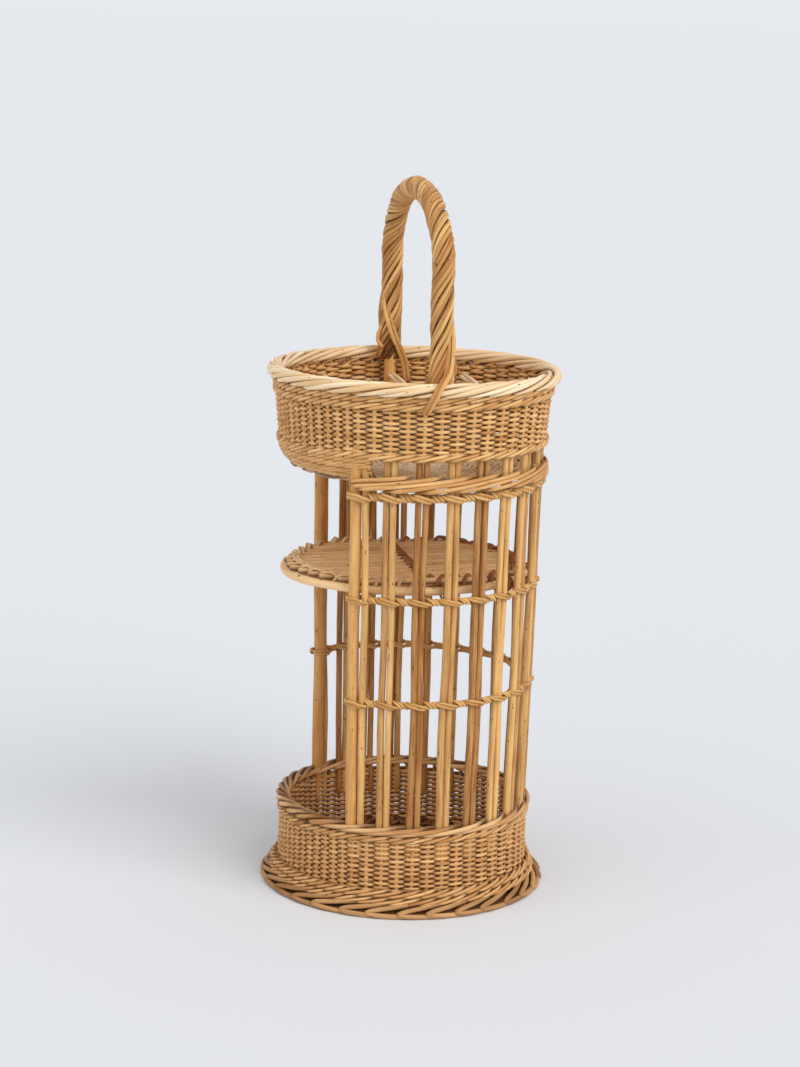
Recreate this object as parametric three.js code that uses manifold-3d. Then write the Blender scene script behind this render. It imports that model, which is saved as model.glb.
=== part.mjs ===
// Wicker bottle holder: a low basket on a flared foot, an open-fronted cage of cane rods with a slatted
// shelf, and a second basket on top with a roped hoop handle. Millimetres, +Z up, origin at the centre of
// the foot's underside. The opening of the cage faces -Y, and the handle spans the X axis.
import * as THREE from "three";
import { mergeVertices } from "three/addons/utils/BufferGeometryUtils.js";
import Module from "manifold-3d";

const wasm = await Module();
wasm.setup();

// Stock and fits
const CLEARANCE = 0.3; // least gap between pieces that touch
const ROD_DIAMETER = 7; // cage rods
const POST_DIAMETER = 12; // thick posts beside the opening
const STRAND_DIAMETER = 4.4; // strands twined round the rods
const WEAVE_LAYER = 3; // woven rods on one face of a wall
const ROD_GAP = 0.4; // between the two rods of a pair
const STAKE_RELIEF = 1.6; // how far both faces of a woven wall fall back between its stakes
const SPOKE_RELIEF = 1.8; // how far both faces of a woven floor fall back between its spokes

// Cage layout
const STAKE_COUNT = 26; // stake positions in a full ring
const OPENING_PITCHES = 8; // stake pitches that stay open at the front
const LOWER_TUCK = 30; // depth of the rods in the lower wall
const UPPER_TUCK = 20; // depth of the rods in the upper wall
const LOWER_BAND_HEIGHT = 217; // middle of the lower twined band
const SHELF_BAND_HEIGHT = 322.5; // middle of the twined band that carries the shelf
const UPPER_BAND_DROP = 10; // middle of the upper twined band below the upper basket

// Lower basket
const FOOT_RADIUS = 150;
const FOOT_FLARE = 18; // from the wall's lower edge out to the foot's edge
const FOOT_SKIRT = 24; // height of the skirt on the wall
const FOOT_LEDGE = 3.7; // ledge that carries the base
const FOOT_LEDGE_WIDTH = 12;
const FOOT_EDGE = 7; // height of the plaited edge
const FOOT_SCALLOP = 3; // depth of the plait's scallops
const BASE_THICKNESS = 8;
const LOWER_WALL_RADIUS = 131.5; // at the top of the wall
const LOWER_WALL_HEIGHT = 65;
const LOWER_BORDER_HEIGHT = 14;
const LOWER_BORDER_OVERHANG = 2.4; // beyond each face of the wall

// Shelf
const SHELF_LENGTH = 249; // along Y, at the middle of the hoop, which bulges out of the opening
const HOOP_DIAMETER = 10;
const SLAT_WIDTH = 13.8;
const SLAT_GAP = 0.6;
const SLAT_THICKNESS = 6;
const SLAT_SEAT = 0.6; // depth of the flat that the hoop has under each slat
const BINDING_DIAMETER = 4.2; // strands that tie the slats down
const BINDING_INSET = 11; // from the middle of the hoop
const TIE_RELIEF = 0.9; // depth of the grooves in the tie across the slats
const TIE_PITCH = 36; // length of one turn of that tie

// Upper basket
const UPPER_WALL_BOTTOM = 462;
const UPPER_WALL_HEIGHT = 60;
const UPPER_WALL_BOTTOM_RADIUS = 138;
const UPPER_WALL_TOP_RADIUS = 143.2;
const OPEN_BAND_HEIGHT = 11; // where the rods show between wall and wale
const WALE_HEIGHT = 14; // thick weave under the wall
const WALE_THICKNESS = 5;
const WALE_ROUNDING = 5; // chamfer of the basket's lower edge
const UPPER_FLOOR_THICKNESS = 8;
const UPPER_BORDER_HEIGHT = 19.6;
const UPPER_BORDER_WIDTH = 17;
const UPPER_BORDER_OVERHANG = 6.3; // beyond the outer face of the wall
const DIVIDER_DIAMETER = 7; // over the two twisted rods of a divider
const DIVIDER_RELIEF = 1.4; // depth of the grooves between them
const DIVIDER_PITCH = 90; // length of one turn of the twist
const DIVIDER_DROP = 5; // below the top of the wall
const DIVIDER_SPACING = 76;
const DIVIDER_TUCK = 8;

// Handle
const CORE_DIAMETER = 13;
const ROPING_THICKNESS = 4.3;
const HANDLE_SPAN = 248; // between the middles of the legs, at the shoulders
const HANDLE_SHOULDER = 650; // height where the legs start to bend
const HANDLE_RIM_GAP = 2; // between a leg's core and the border that it passes
const LEG_COLLAR = 20; // upright stretch of a leg above the border
const HANDLE_RISE = 69; // of the arch above the shoulders
const HANDLE_TUCK = 47; // depth of the core in the upper wall
const ROPING_STRANDS = 5; // rounded ridges that show round the roping
const ROPING_PITCH = 150; // length of one turn of the roping
const ROPING_RELIEF = 0.9; // depth of the grooves between strands

// Facets
const RING_SEGMENTS = 2 * STAKE_COUNT;
const ROD_SIDES = 8;
const POST_SIDES = 12;
const STRAND_SIDES = 5;
const HOOP_STEPS = 40;
const ARCH_STEPS = 18;
const ROPING_STEPS = 4; // on each leg above its collar
const DIVIDER_STEPS = 10;
const TIE_STEPS = 15;

// Worked out from the sizes above
const Z = new THREE.Vector3(0, 0, 1);
const PITCH = (2 * Math.PI) / STAKE_COUNT;
const LAST_STAKE = STAKE_COUNT - OPENING_PITCHES;
const FIRST_ANGLE = -Math.PI / 2 + (OPENING_PITCHES * PITCH) / 2;
const FACET_SAG = LOWER_WALL_RADIUS * (1 - Math.cos(Math.PI / RING_SEGMENTS));
const ROD_ROOM = CLEARANCE + FACET_SAG;
const PAIR_OFFSET = (ROD_DIAMETER + ROD_GAP) / 2;
const POST_GROUP = POST_DIAMETER + ROD_GAP + ROD_DIAMETER; // width of a post and its side rod
const POST_OFFSET = (POST_GROUP - POST_DIAMETER) / 2;
const SIDE_ROD_OFFSET = (POST_GROUP - ROD_DIAMETER) / 2;

const baseBottom = FOOT_LEDGE + CLEARANCE;
const lowerWallBottom = baseBottom + BASE_THICKNESS + CLEARANCE;
const lowerWallTop = lowerWallBottom + LOWER_WALL_HEIGHT;
const lowerBorderBottom = lowerWallTop + CLEARANCE;
const lowerBorderTop = lowerBorderBottom + LOWER_BORDER_HEIGHT;
const upperWallTop = UPPER_WALL_BOTTOM + UPPER_WALL_HEIGHT;
const waleTop = UPPER_WALL_BOTTOM - OPEN_BAND_HEIGHT;
const WALE_BOTTOM = waleTop - WALE_HEIGHT;
const upperBorderBottom = upperWallTop + CLEARANCE;
const upperBorderTop = upperBorderBottom + UPPER_BORDER_HEIGHT;
const BAND_HEIGHTS = {
  lower: LOWER_BAND_HEIGHT,
  shelf: SHELF_BAND_HEIGHT,
  upper: WALE_BOTTOM - UPPER_BAND_DROP,
};
const rimOuter = UPPER_WALL_TOP_RADIUS + UPPER_BORDER_OVERHANG;
const rimInner = rimOuter - UPPER_BORDER_WIDTH;
const legFoot = rimInner - HANDLE_RIM_GAP - CORE_DIAMETER / 2; // middle of a leg where it passes the border
const legTurn = upperBorderTop + LEG_COLLAR;

// Outer faces of the two walls. The lower one stands on the foot's inner edge and ends at its own top radius.
const wallFoot = FOOT_RADIUS - FOOT_FLARE;

function lowerWallRadius(z) {
  return wallFoot + ((LOWER_WALL_RADIUS - wallFoot) * (z - lowerWallBottom)) / LOWER_WALL_HEIGHT;
}

function upperWallRadius(z) {
  const share = (z - UPPER_WALL_BOTTOM) / UPPER_WALL_HEIGHT;
  return UPPER_WALL_BOTTOM_RADIUS + (UPPER_WALL_TOP_RADIUS - UPPER_WALL_BOTTOM_RADIUS) * share;
}

// A rod runs straight from the lower wall to the upper one, a layer of weave inside the narrower end of
// each stretch that holds it.
const rodBottom = lowerWallTop - LOWER_TUCK;
const rodTop = UPPER_WALL_BOTTOM + UPPER_TUCK;
const rodHalf = ROD_DIAMETER / 2 + ROD_ROOM;
const narrowLow = Math.min(lowerWallRadius(rodBottom), LOWER_WALL_RADIUS);
const narrowHigh = Math.min(UPPER_WALL_BOTTOM_RADIUS, upperWallRadius(rodTop));
const ROD_LINE = {
  low: { r: narrowLow - WEAVE_LAYER - rodHalf, z: lowerWallTop },
  high: { r: narrowHigh - WEAVE_LAYER - rodHalf, z: UPPER_WALL_BOTTOM },
};

function rodRadius(z) {
  const { low, high } = ROD_LINE;
  return low.r + ((high.r - low.r) * (z - low.z)) / (high.z - low.z);
}

// How deep the rods lie in each wall, and the thickness that the wall needs round them.
const rodDepths = [rodBottom, lowerWallTop].map((z) => lowerWallRadius(z) - rodRadius(z));
const slotOuter = Math.min(...rodDepths) - rodHalf;
const slotInner = Math.max(...rodDepths) + rodHalf;
const lowerThickness = slotInner + WEAVE_LAYER;
const rodLean = Math.abs(rodRadius(lowerWallTop) - rodRadius(rodBottom));
const upperRodDepth = upperWallRadius(rodTop) - rodRadius(rodTop);
const upperThickness = Math.max(
  2 * (WEAVE_LAYER + rodHalf) + rodLean,
  upperRodDepth + rodHalf + WEAVE_LAYER / 2,
);

// Materials
const cane = new THREE.MeshStandardMaterial({ color: 0xc99a5b, roughness: 0.55, metalness: 0 });
const post = new THREE.MeshStandardMaterial({ color: 0xc4924f, roughness: 0.5, metalness: 0 });
const willow = new THREE.MeshStandardMaterial({ color: 0xbe9055, roughness: 0.65, metalness: 0 });
const border = new THREE.MeshStandardMaterial({ color: 0xcfa468, roughness: 0.6, metalness: 0 });
const strand = new THREE.MeshStandardMaterial({ color: 0xd0a462, roughness: 0.6, metalness: 0 });
const slat = new THREE.MeshStandardMaterial({ color: 0xb88650, roughness: 0.6, metalness: 0 });
const roping = new THREE.MeshStandardMaterial({ color: 0xc79557, roughness: 0.6, metalness: 0 });

// Solids: cuts and joins between closed geometries
function toSolid(geometry) {
  const bare = geometry.index ? geometry.toNonIndexed() : geometry.clone();
  bare.deleteAttribute("normal");
  bare.deleteAttribute("uv");
  const merged = mergeVertices(bare, 1e-3);
  return new wasm.Manifold(
    new wasm.Mesh({
      numProp: 3,
      vertProperties: merged.attributes.position.array,
      triVerts: new Uint32Array(merged.index.array),
    }),
  );
}

function toGeometry(solid) {
  const mesh = solid.getMesh();
  return new THREE.BufferGeometry()
    .setAttribute("position", new THREE.BufferAttribute(mesh.vertProperties, 3))
    .setIndex(new THREE.BufferAttribute(mesh.triVerts, 1));
}

function cut(geometry, tools) {
  return toGeometry(tools.reduce((rest, tool) => rest.subtract(toSolid(tool)), toSolid(geometry)));
}

function join(geometries) {
  return toGeometry(geometries.map(toSolid).reduce((whole, next) => whole.add(next)));
}

// Shapes
function ring(profile) {
  const closed = [...profile, profile[0]].map(([r, z]) => new THREE.Vector2(r, z));
  return new THREE.LatheGeometry(closed, RING_SEGMENTS).rotateX(Math.PI / 2);
}

function disc(radius, bottom, thickness) {
  return new THREE.CylinderGeometry(radius, radius, thickness, RING_SEGMENTS)
    .rotateX(Math.PI / 2)
    .translate(0, 0, bottom + thickness / 2);
}

// Moves those corners of a ring or disc that lie at the stakes, or those halfway between them.
function reshaped(geometry, atStakes, change) {
  const position = geometry.getAttribute("position");
  for (let i = 0; i < position.count; i++) {
    const [x, y, z] = [position.getX(i), position.getY(i), position.getZ(i)];
    const r = Math.hypot(x, y);
    const corner = Math.round((Math.atan2(y, x) * RING_SEGMENTS) / (2 * Math.PI));
    if (r > CLEARANCE && (corner % 2 !== 0) === atStakes) {
      const to = change(r, z);
      position.setXYZ(i, (x * to.r) / r, (y * to.r) / r, to.z);
    }
  }
  return geometry;
}

// The outer edge is drawn in at every second corner, as the loops of a plait are.
function scalloped(geometry, drawnIn) {
  return reshaped(geometry, true, (r, z) => ({ r: Math.min(r, drawnIn), z }));
}

// The stakes stand out on both faces of a wall.
function ribbed(geometry, outside, inside) {
  const near = CLEARANCE / 2;
  return reshaped(geometry, false, (r, z) => {
    if (Math.abs(r - outside(z)) < near) return { r: r - STAKE_RELIEF, z };
    if (Math.abs(r - inside(z)) < near) return { r: r + STAKE_RELIEF, z };
    return { r, z };
  });
}

// The spokes stand out on both faces of a woven floor.
function wovenFloor(radius, bottom, thickness) {
  const middle = bottom + thickness / 2;
  const fallBack = (z) => (z > middle ? z - SPOKE_RELIEF : z + SPOKE_RELIEF);
  return reshaped(disc(radius, bottom, thickness), false, (r, z) => ({ r, z: fallBack(z) }));
}

// An eight-sided rounded section between two radii and two heights.
function roundedSection(inner, outer, bottom, top) {
  const share = 0.28;
  const dr = (outer - inner) * share;
  const dz = (top - bottom) * share;
  return [
    [inner + dr, bottom],
    [outer - dr, bottom],
    [outer, bottom + dz],
    [outer, top - dz],
    [outer - dr, top],
    [inner + dr, top],
    [inner, top - dz],
    [inner, bottom + dz],
  ];
}

// An upright block with the plan of a ring sector, from one angle to the next.
function sector(inner, outer, from, to, bottom, top) {
  const shape = new THREE.Shape();
  shape.absarc(0, 0, outer, from, to, false);
  shape.absarc(0, 0, inner, to, from, true);
  const curveSegments = Math.ceil((RING_SEGMENTS * (to - from)) / (4 * Math.PI));
  return new THREE.ExtrudeGeometry(shape, {
    depth: top - bottom,
    steps: 1,
    bevelEnabled: false,
    curveSegments,
  }).translate(0, 0, bottom);
}

// A closed skin over rings of points, with flat ends unless the last ring meets the first.
function loft(rings, closed) {
  const sides = rings[0].length;
  const positions = rings.flat().flatMap((p) => [p.x, p.y, p.z]);
  const index = [];
  const spans = closed ? rings.length : rings.length - 1;
  for (let i = 0; i < spans; i++) {
    const here = i * sides;
    const next = ((i + 1) % rings.length) * sides;
    for (let j = 0; j < sides; j++) {
      const k = (j + 1) % sides;
      index.push(here + j, here + k, next + k, here + j, next + k, next + j);
    }
  }
  if (!closed) {
    const end = (rings.length - 1) * sides;
    for (let j = 1; j < sides - 1; j++) {
      index.push(0, j + 1, j, end, end + j, end + j + 1);
    }
  }
  return new THREE.BufferGeometry()
    .setAttribute("position", new THREE.Float32BufferAttribute(positions, 3))
    .setIndex(index);
}

// Rings of a tube through points, each square to the route there, with a section radius of section(angle, i).
function tubeRings(points, sides, section, closed) {
  const count = points.length;
  const rings = [];
  let side = null;
  for (let i = 0; i < count; i++) {
    const before = points[closed ? (i + count - 1) % count : Math.max(i - 1, 0)];
    const after = points[closed ? (i + 1) % count : Math.min(i + 1, count - 1)];
    const along = after.clone().sub(before).normalize();
    side ??= Math.abs(along.z) < 0.9 ? Z.clone() : new THREE.Vector3(0, 1, 0);
    side.addScaledVector(along, -side.dot(along)).normalize();
    const across = along.clone().cross(side);
    rings.push(
      Array.from({ length: sides }, (_, j) => {
        const angle = (2 * Math.PI * j) / sides;
        const radius = section(angle, i);
        return points[i]
          .clone()
          .addScaledVector(side, radius * Math.cos(angle))
          .addScaledVector(across, radius * Math.sin(angle));
      }),
    );
  }
  return rings;
}

function tube(points, radius, sides, closed = false) {
  return loft(tubeRings(points, sides, () => radius, closed), closed);
}

function straight(from, to, steps) {
  return Array.from({ length: steps + 1 }, (_, i) => from.clone().lerp(to, i / steps));
}

// A tube with rounded ridges that wind round it, one for each strand that shows.
function twisted(points, radius, sides, strands, relief, pitch) {
  const travelled = [0];
  for (let i = 1; i < points.length; i++) {
    travelled.push(travelled[i - 1] + points[i].distanceTo(points[i - 1]));
  }
  const ridge = (angle, i) => {
    const turn = (2 * Math.PI * travelled[i]) / pitch;
    return radius - (relief * (1 - Math.cos(strands * (angle - turn)))) / 2;
  };
  return loft(tubeRings(points, sides, ridge, false), false);
}

// A straight round bar between two points.
function bar(from, to, radius, sides) {
  const along = to.clone().sub(from);
  const turn = new THREE.Quaternion().setFromUnitVectors(
    new THREE.Vector3(0, 1, 0),
    along.clone().normalize(),
  );
  return new THREE.CylinderGeometry(radius, radius, along.length(), sides)
    .applyQuaternion(turn)
    .translate(...from.clone().add(to).multiplyScalar(0.5).toArray());
}

const holder = new THREE.Group();
holder.name = "bottle_holder";

function add(name, geometry, material) {
  const mesh = new THREE.Mesh(geometry, material);
  mesh.name = name;
  holder.add(mesh);
  return mesh;
}

// Cage: where each rod stands

// A point at a height on the line of a rod, set off along the ring from its stake position.
function stakePoint(stake, offset, z) {
  const r = rodRadius(z);
  const angle = FIRST_ANGLE + stake * PITCH;
  return new THREE.Vector3(
    r * Math.cos(angle) - offset * Math.sin(angle),
    r * Math.sin(angle) + offset * Math.cos(angle),
    z,
  );
}

function standing(stake, offset, radius, sides, room = 0) {
  const from = stakePoint(stake, offset, rodBottom - room);
  const to = stakePoint(stake, offset, rodTop + room);
  return bar(from, to, radius + room, sides);
}

const POST_PLACES = [
  { side: "right", stake: 0, inward: 1 },
  { side: "left", stake: LAST_STAKE, inward: -1 },
];

const postRooms = POST_PLACES.map(({ stake, inward }) =>
  standing(stake, -inward * POST_OFFSET, POST_DIAMETER / 2, POST_SIDES, ROD_ROOM),
);
const postMargin = (POST_GROUP / 2 + ROD_ROOM) / ROD_LINE.low.r;
const cageStart = FIRST_ANGLE - postMargin;
const cageEnd = FIRST_ANGLE + LAST_STAKE * PITCH + postMargin;

function addCage() {
  for (const { side, stake, inward } of POST_PLACES) {
    const offset = -inward * POST_OFFSET;
    add(`post_${side}`, standing(stake, offset, POST_DIAMETER / 2, POST_SIDES), post);
    const beside = inward * SIDE_ROD_OFFSET;
    add(`post_rod_${side}`, standing(stake, beside, ROD_DIAMETER / 2, ROD_SIDES), cane);
  }
  for (let stake = 1; stake < LAST_STAKE; stake++) {
    const number = String(stake).padStart(2, "0");
    add(`rod_${number}a`, standing(stake, -PAIR_OFFSET, ROD_DIAMETER / 2, ROD_SIDES), cane);
    add(`rod_${number}b`, standing(stake, PAIR_OFFSET, ROD_DIAMETER / 2, ROD_SIDES), cane);
  }
}

// Twined bands: one long strand folded round the right post, its two halves crossing between the rod pairs

function bandPoint(z, stake, along, out, up) {
  const r = rodRadius(z) + out;
  const angle = FIRST_ANGLE + stake * PITCH + along / rodRadius(z);
  return new THREE.Vector3(r * Math.cos(angle), r * Math.sin(angle), z + up);
}

function bandRoute(z) {
  const reach = (STRAND_DIAMETER + ROD_DIAMETER) / 2 + 3 * CLEARANCE + ROD_GAP;
  const postReach = (STRAND_DIAMETER + POST_DIAMETER) / 2 + 2 * CLEARANCE;
  const flat = PAIR_OFFSET + 1;
  const lift = STRAND_DIAMETER / 2 + CLEARANCE;
  const half = (first) => {
    const points = [];
    for (let stake = 0; stake <= LAST_STAKE; stake++) {
      const way = first * (stake % 2 ? -1 : 1);
      const atPost = stake === 0 || stake === LAST_STAKE;
      const out = way * (atPost ? postReach : reach);
      const before = atPost ? POST_OFFSET + 2 * CLEARANCE : flat;
      const after = atPost ? SIDE_ROD_OFFSET + 1 : flat;
      const [start, end] = stake === LAST_STAKE ? [after, before] : [before, after];
      points.push(bandPoint(z, stake, -start, out, 0), bandPoint(z, stake, end, out, 0));
      if (stake < LAST_STAKE) {
        points.push(bandPoint(z, stake + 0.5, 0, 0, way * lift));
      }
    }
    return points;
  };
  const turn = [];
  const turnSteps = 5;
  for (let i = 1; i < turnSteps; i++) {
    const angle = Math.PI * (0.5 + i / turnSteps);
    const along = -POST_OFFSET - 2 * CLEARANCE + postReach * Math.cos(angle);
    turn.push(bandPoint(z, 0, along, postReach * Math.sin(angle), 0));
  }
  return [...half(1).reverse(), ...turn, ...half(-1)];
}

function addBands() {
  for (const [name, z] of Object.entries(BAND_HEIGHTS)) {
    add(`twined_band_${name}`, tube(bandRoute(z), STRAND_DIAMETER / 2, STRAND_SIDES), strand);
  }
}

// Lower basket: plaited foot, woven base, wall with a slot for the rods, and a border that they pass through

function addLowerBasket() {
  const wallGap = (z) => lowerWallRadius(z) + CLEARANCE + FACET_SAG;
  const skirtMiddle = (FOOT_SKIRT + FOOT_EDGE) / 2;
  const foot = ring([
    [wallFoot - FOOT_LEDGE_WIDTH, 0],
    [FOOT_RADIUS - FOOT_EDGE / 2, 0],
    [FOOT_RADIUS, FOOT_EDGE / 2],
    [FOOT_RADIUS, FOOT_EDGE],
    [(FOOT_RADIUS + 2 * wallGap(skirtMiddle)) / 3, skirtMiddle],
    [wallGap(FOOT_SKIRT) + WEAVE_LAYER / 2, FOOT_SKIRT],
    [wallGap(FOOT_SKIRT), FOOT_SKIRT],
    [wallGap(lowerWallBottom), lowerWallBottom],
    [wallGap(lowerWallBottom), FOOT_LEDGE],
    [wallFoot - FOOT_LEDGE_WIDTH, FOOT_LEDGE],
  ]);
  add("foot_border", scalloped(foot, FOOT_RADIUS - FOOT_SCALLOP), border);
  add("lower_base", wovenFloor(wallFoot, baseBottom, BASE_THICKNESS), willow);

  const slotBottom = rodBottom - CLEARANCE;
  const wall = ring([
    [wallFoot, lowerWallBottom],
    [LOWER_WALL_RADIUS, lowerWallTop],
    [LOWER_WALL_RADIUS - slotOuter, lowerWallTop],
    [lowerWallRadius(slotBottom) - slotOuter, slotBottom],
    [lowerWallRadius(slotBottom) - slotInner, slotBottom],
    [LOWER_WALL_RADIUS - slotInner, lowerWallTop],
    [LOWER_WALL_RADIUS - lowerThickness, lowerWallTop],
    [wallFoot - lowerThickness, lowerWallBottom],
  ]);
  const lowerInside = (z) => lowerWallRadius(z) - lowerThickness;
  add("lower_wall", cut(ribbed(wall, lowerWallRadius, lowerInside), postRooms), willow);

  const rim = ring(
    roundedSection(
      LOWER_WALL_RADIUS - lowerThickness - LOWER_BORDER_OVERHANG,
      LOWER_WALL_RADIUS + LOWER_BORDER_OVERHANG,
      lowerBorderBottom,
      lowerBorderTop,
    ),
  );
  const slot = sector(
    rodRadius(lowerBorderBottom) - rodHalf,
    rodRadius(lowerBorderTop) + rodHalf,
    cageStart,
    cageEnd,
    lowerWallBottom,
    upperWallTop,
  );
  add("lower_border", cut(rim, [slot, ...postRooms]), border);
}

// Shelf: half-round slats on a bent hoop, which rests on a band between the posts and the rods at the back

const hoopHeight = BAND_HEIGHTS.shelf + STRAND_DIAMETER / 2 + CLEARANCE + HOOP_DIAMETER / 2;
const shelfBack = rodRadius(hoopHeight) - (ROD_DIAMETER + HOOP_DIAMETER) / 2 - CLEARANCE;
const shelfMiddle = shelfBack - SHELF_LENGTH / 2;
const shelfHalfWidth = Math.min(widthBetweenPosts(), Math.sqrt((shelfBack * SHELF_LENGTH) / 2));

// Half the width of an oval that passes each post with a clearance, found step by step from the direction
// in which its edge faces the post. A short shelf may not curve less than the rods behind it either.
function widthBetweenPosts() {
  const halfLength = SHELF_LENGTH / 2;
  const away = (POST_DIAMETER + HOOP_DIAMETER) / 2 + CLEARANCE;
  const { x, y } = stakePoint(0, -POST_OFFSET, hoopHeight);
  const middle = new THREE.Vector2(x, y - shelfMiddle);
  let half = halfLength;
  let edge = middle.clone();
  for (let i = 0; i < 40; i++) {
    const facing = new THREE.Vector2(edge.x / half ** 2, edge.y / halfLength ** 2).normalize();
    edge = middle.clone().addScaledVector(facing, -away);
    half = edge.x / Math.sqrt(1 - (edge.y / halfLength) ** 2);
  }
  return half;
}

function shelfEdge(inset, z) {
  return Array.from({ length: HOOP_STEPS }, (_, i) => {
    const angle = (2 * Math.PI * i) / HOOP_STEPS;
    return new THREE.Vector3(
      (shelfHalfWidth - inset) * Math.cos(angle),
      (SHELF_LENGTH / 2 - inset) * Math.sin(angle) + shelfMiddle,
      z,
    );
  });
}

function slatSection() {
  const half = SLAT_WIDTH / 2;
  const shoulder = SLAT_THICKNESS / 3;
  const shape = new THREE.Shape();
  shape.moveTo(-half, 0);
  shape.lineTo(half, 0);
  shape.lineTo(half, shoulder);
  shape.quadraticCurveTo(half * 0.8, SLAT_THICKNESS, 0, SLAT_THICKNESS);
  shape.quadraticCurveTo(-half * 0.8, SLAT_THICKNESS, -half, shoulder);
  return shape;
}

function addShelf() {
  const slatBottom = hoopHeight + HOOP_DIAMETER / 2 - SLAT_SEAT;
  const hoop = tube(shelfEdge(0, hoopHeight), HOOP_DIAMETER / 2, ROD_SIDES, true);
  const section = slatSection();
  const slatCount = 2 * Math.floor((shelfHalfWidth - SLAT_GAP / 2) / (SLAT_WIDTH + SLAT_GAP));
  const slats = [];
  for (let i = 0; i < slatCount; i++) {
    const x = (i - (slatCount - 1) / 2) * (SLAT_WIDTH + SLAT_GAP);
    const length = SHELF_LENGTH * Math.sqrt(1 - (x / shelfHalfWidth) ** 2);
    slats.push(
      new THREE.ExtrudeGeometry(section, { depth: length, steps: 1, bevelEnabled: false, curveSegments: 3 })
        .rotateX(Math.PI / 2)
        .translate(x, length / 2 + shelfMiddle, slatBottom),
    );
  }
  add("shelf_deck", join([hoop, ...slats]), slat);
  const bindingRadius = BINDING_DIAMETER / 2;
  const bindingHeight = slatBottom + SLAT_THICKNESS + CLEARANCE + bindingRadius;
  const around = shelfEdge(BINDING_INSET, bindingHeight);
  add("shelf_binding", tube(around, bindingRadius, STRAND_SIDES, true), strand);
  const reach = shelfHalfWidth - BINDING_INSET - BINDING_DIAMETER / 2 - CLEARANCE;
  const across = straight(
    new THREE.Vector3(-reach, shelfMiddle, bindingHeight),
    new THREE.Vector3(reach, shelfMiddle, bindingHeight),
    TIE_STEPS,
  );
  add("shelf_tie", twisted(across, bindingRadius, ROD_SIDES, 2, TIE_RELIEF, TIE_PITCH), strand);
}

// Handle: a bent core pushed down into the wall, with roping wound round it above the border

function handlePoint(share) {
  // 0 and 1 are the shoulders of the arch.
  const angle = Math.PI * (1 - share);
  return new THREE.Vector3(
    (HANDLE_SPAN / 2) * Math.cos(angle),
    0,
    HANDLE_SHOULDER + HANDLE_RISE * Math.sin(angle),
  );
}

// A leg stands upright where it passes the border and up to its collar, then runs straight to the shoulder.
function legPoint(side, z) {
  const share = Math.max(0, (z - legTurn) / (HANDLE_SHOULDER - legTurn));
  return new THREE.Vector3(side * (legFoot + (HANDLE_SPAN / 2 - legFoot) * share), 0, z);
}

function handleRoute(bottom, steps) {
  const rise = (HANDLE_SHOULDER - legTurn) / steps;
  const heights = [bottom, ...Array.from({ length: steps }, (_, i) => legTurn + rise * i)];
  const arch = Array.from({ length: ARCH_STEPS + 1 }, (_, i) => handlePoint(i / ARCH_STEPS));
  return [
    ...heights.map((z) => legPoint(-1, z)),
    ...arch,
    ...heights.reverse().map((z) => legPoint(1, z)),
  ];
}

function handleCore(room = 0) {
  return tube(handleRoute(upperWallTop - HANDLE_TUCK - room, 1), CORE_DIAMETER / 2 + room, ROD_SIDES);
}

function addHandle() {
  add("handle_core", handleCore(), post);
  const route = handleRoute(upperBorderTop + CLEARANCE, ROPING_STEPS);
  const outside = CORE_DIAMETER / 2 + ROPING_THICKNESS;
  const wound = twisted(route, outside, 2 * ROPING_STRANDS, ROPING_STRANDS, ROPING_RELIEF, ROPING_PITCH);
  add("handle_roping", cut(wound, [handleCore(CLEARANCE)]), roping);
}

// Upper basket: thick lower weave, floor, wall with a slot for the rods, rolled border and dividers

function dividerEnds(y) {
  const z = upperWallTop - DIVIDER_DROP - DIVIDER_DIAMETER / 2;
  const wall = upperWallRadius(z) - upperThickness;
  const reach = y
    ? Math.sqrt((wall + DIVIDER_TUCK) ** 2 - y * y)
    : legFoot - CORE_DIAMETER / 2 - CLEARANCE;
  return [new THREE.Vector3(-reach, y, z), new THREE.Vector3(reach, y, z)];
}

function divider(y) {
  const route = straight(...dividerEnds(y), DIVIDER_STEPS);
  return twisted(route, DIVIDER_DIAMETER / 2, ROD_SIDES, 2, DIVIDER_RELIEF, DIVIDER_PITCH);
}

function dividerSocket(y) {
  const [from, to] = dividerEnds(y);
  const room = new THREE.Vector3(CLEARANCE, 0, 0);
  return bar(from.sub(room), to.add(room), DIVIDER_DIAMETER / 2 + CLEARANCE, POST_SIDES);
}

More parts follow.
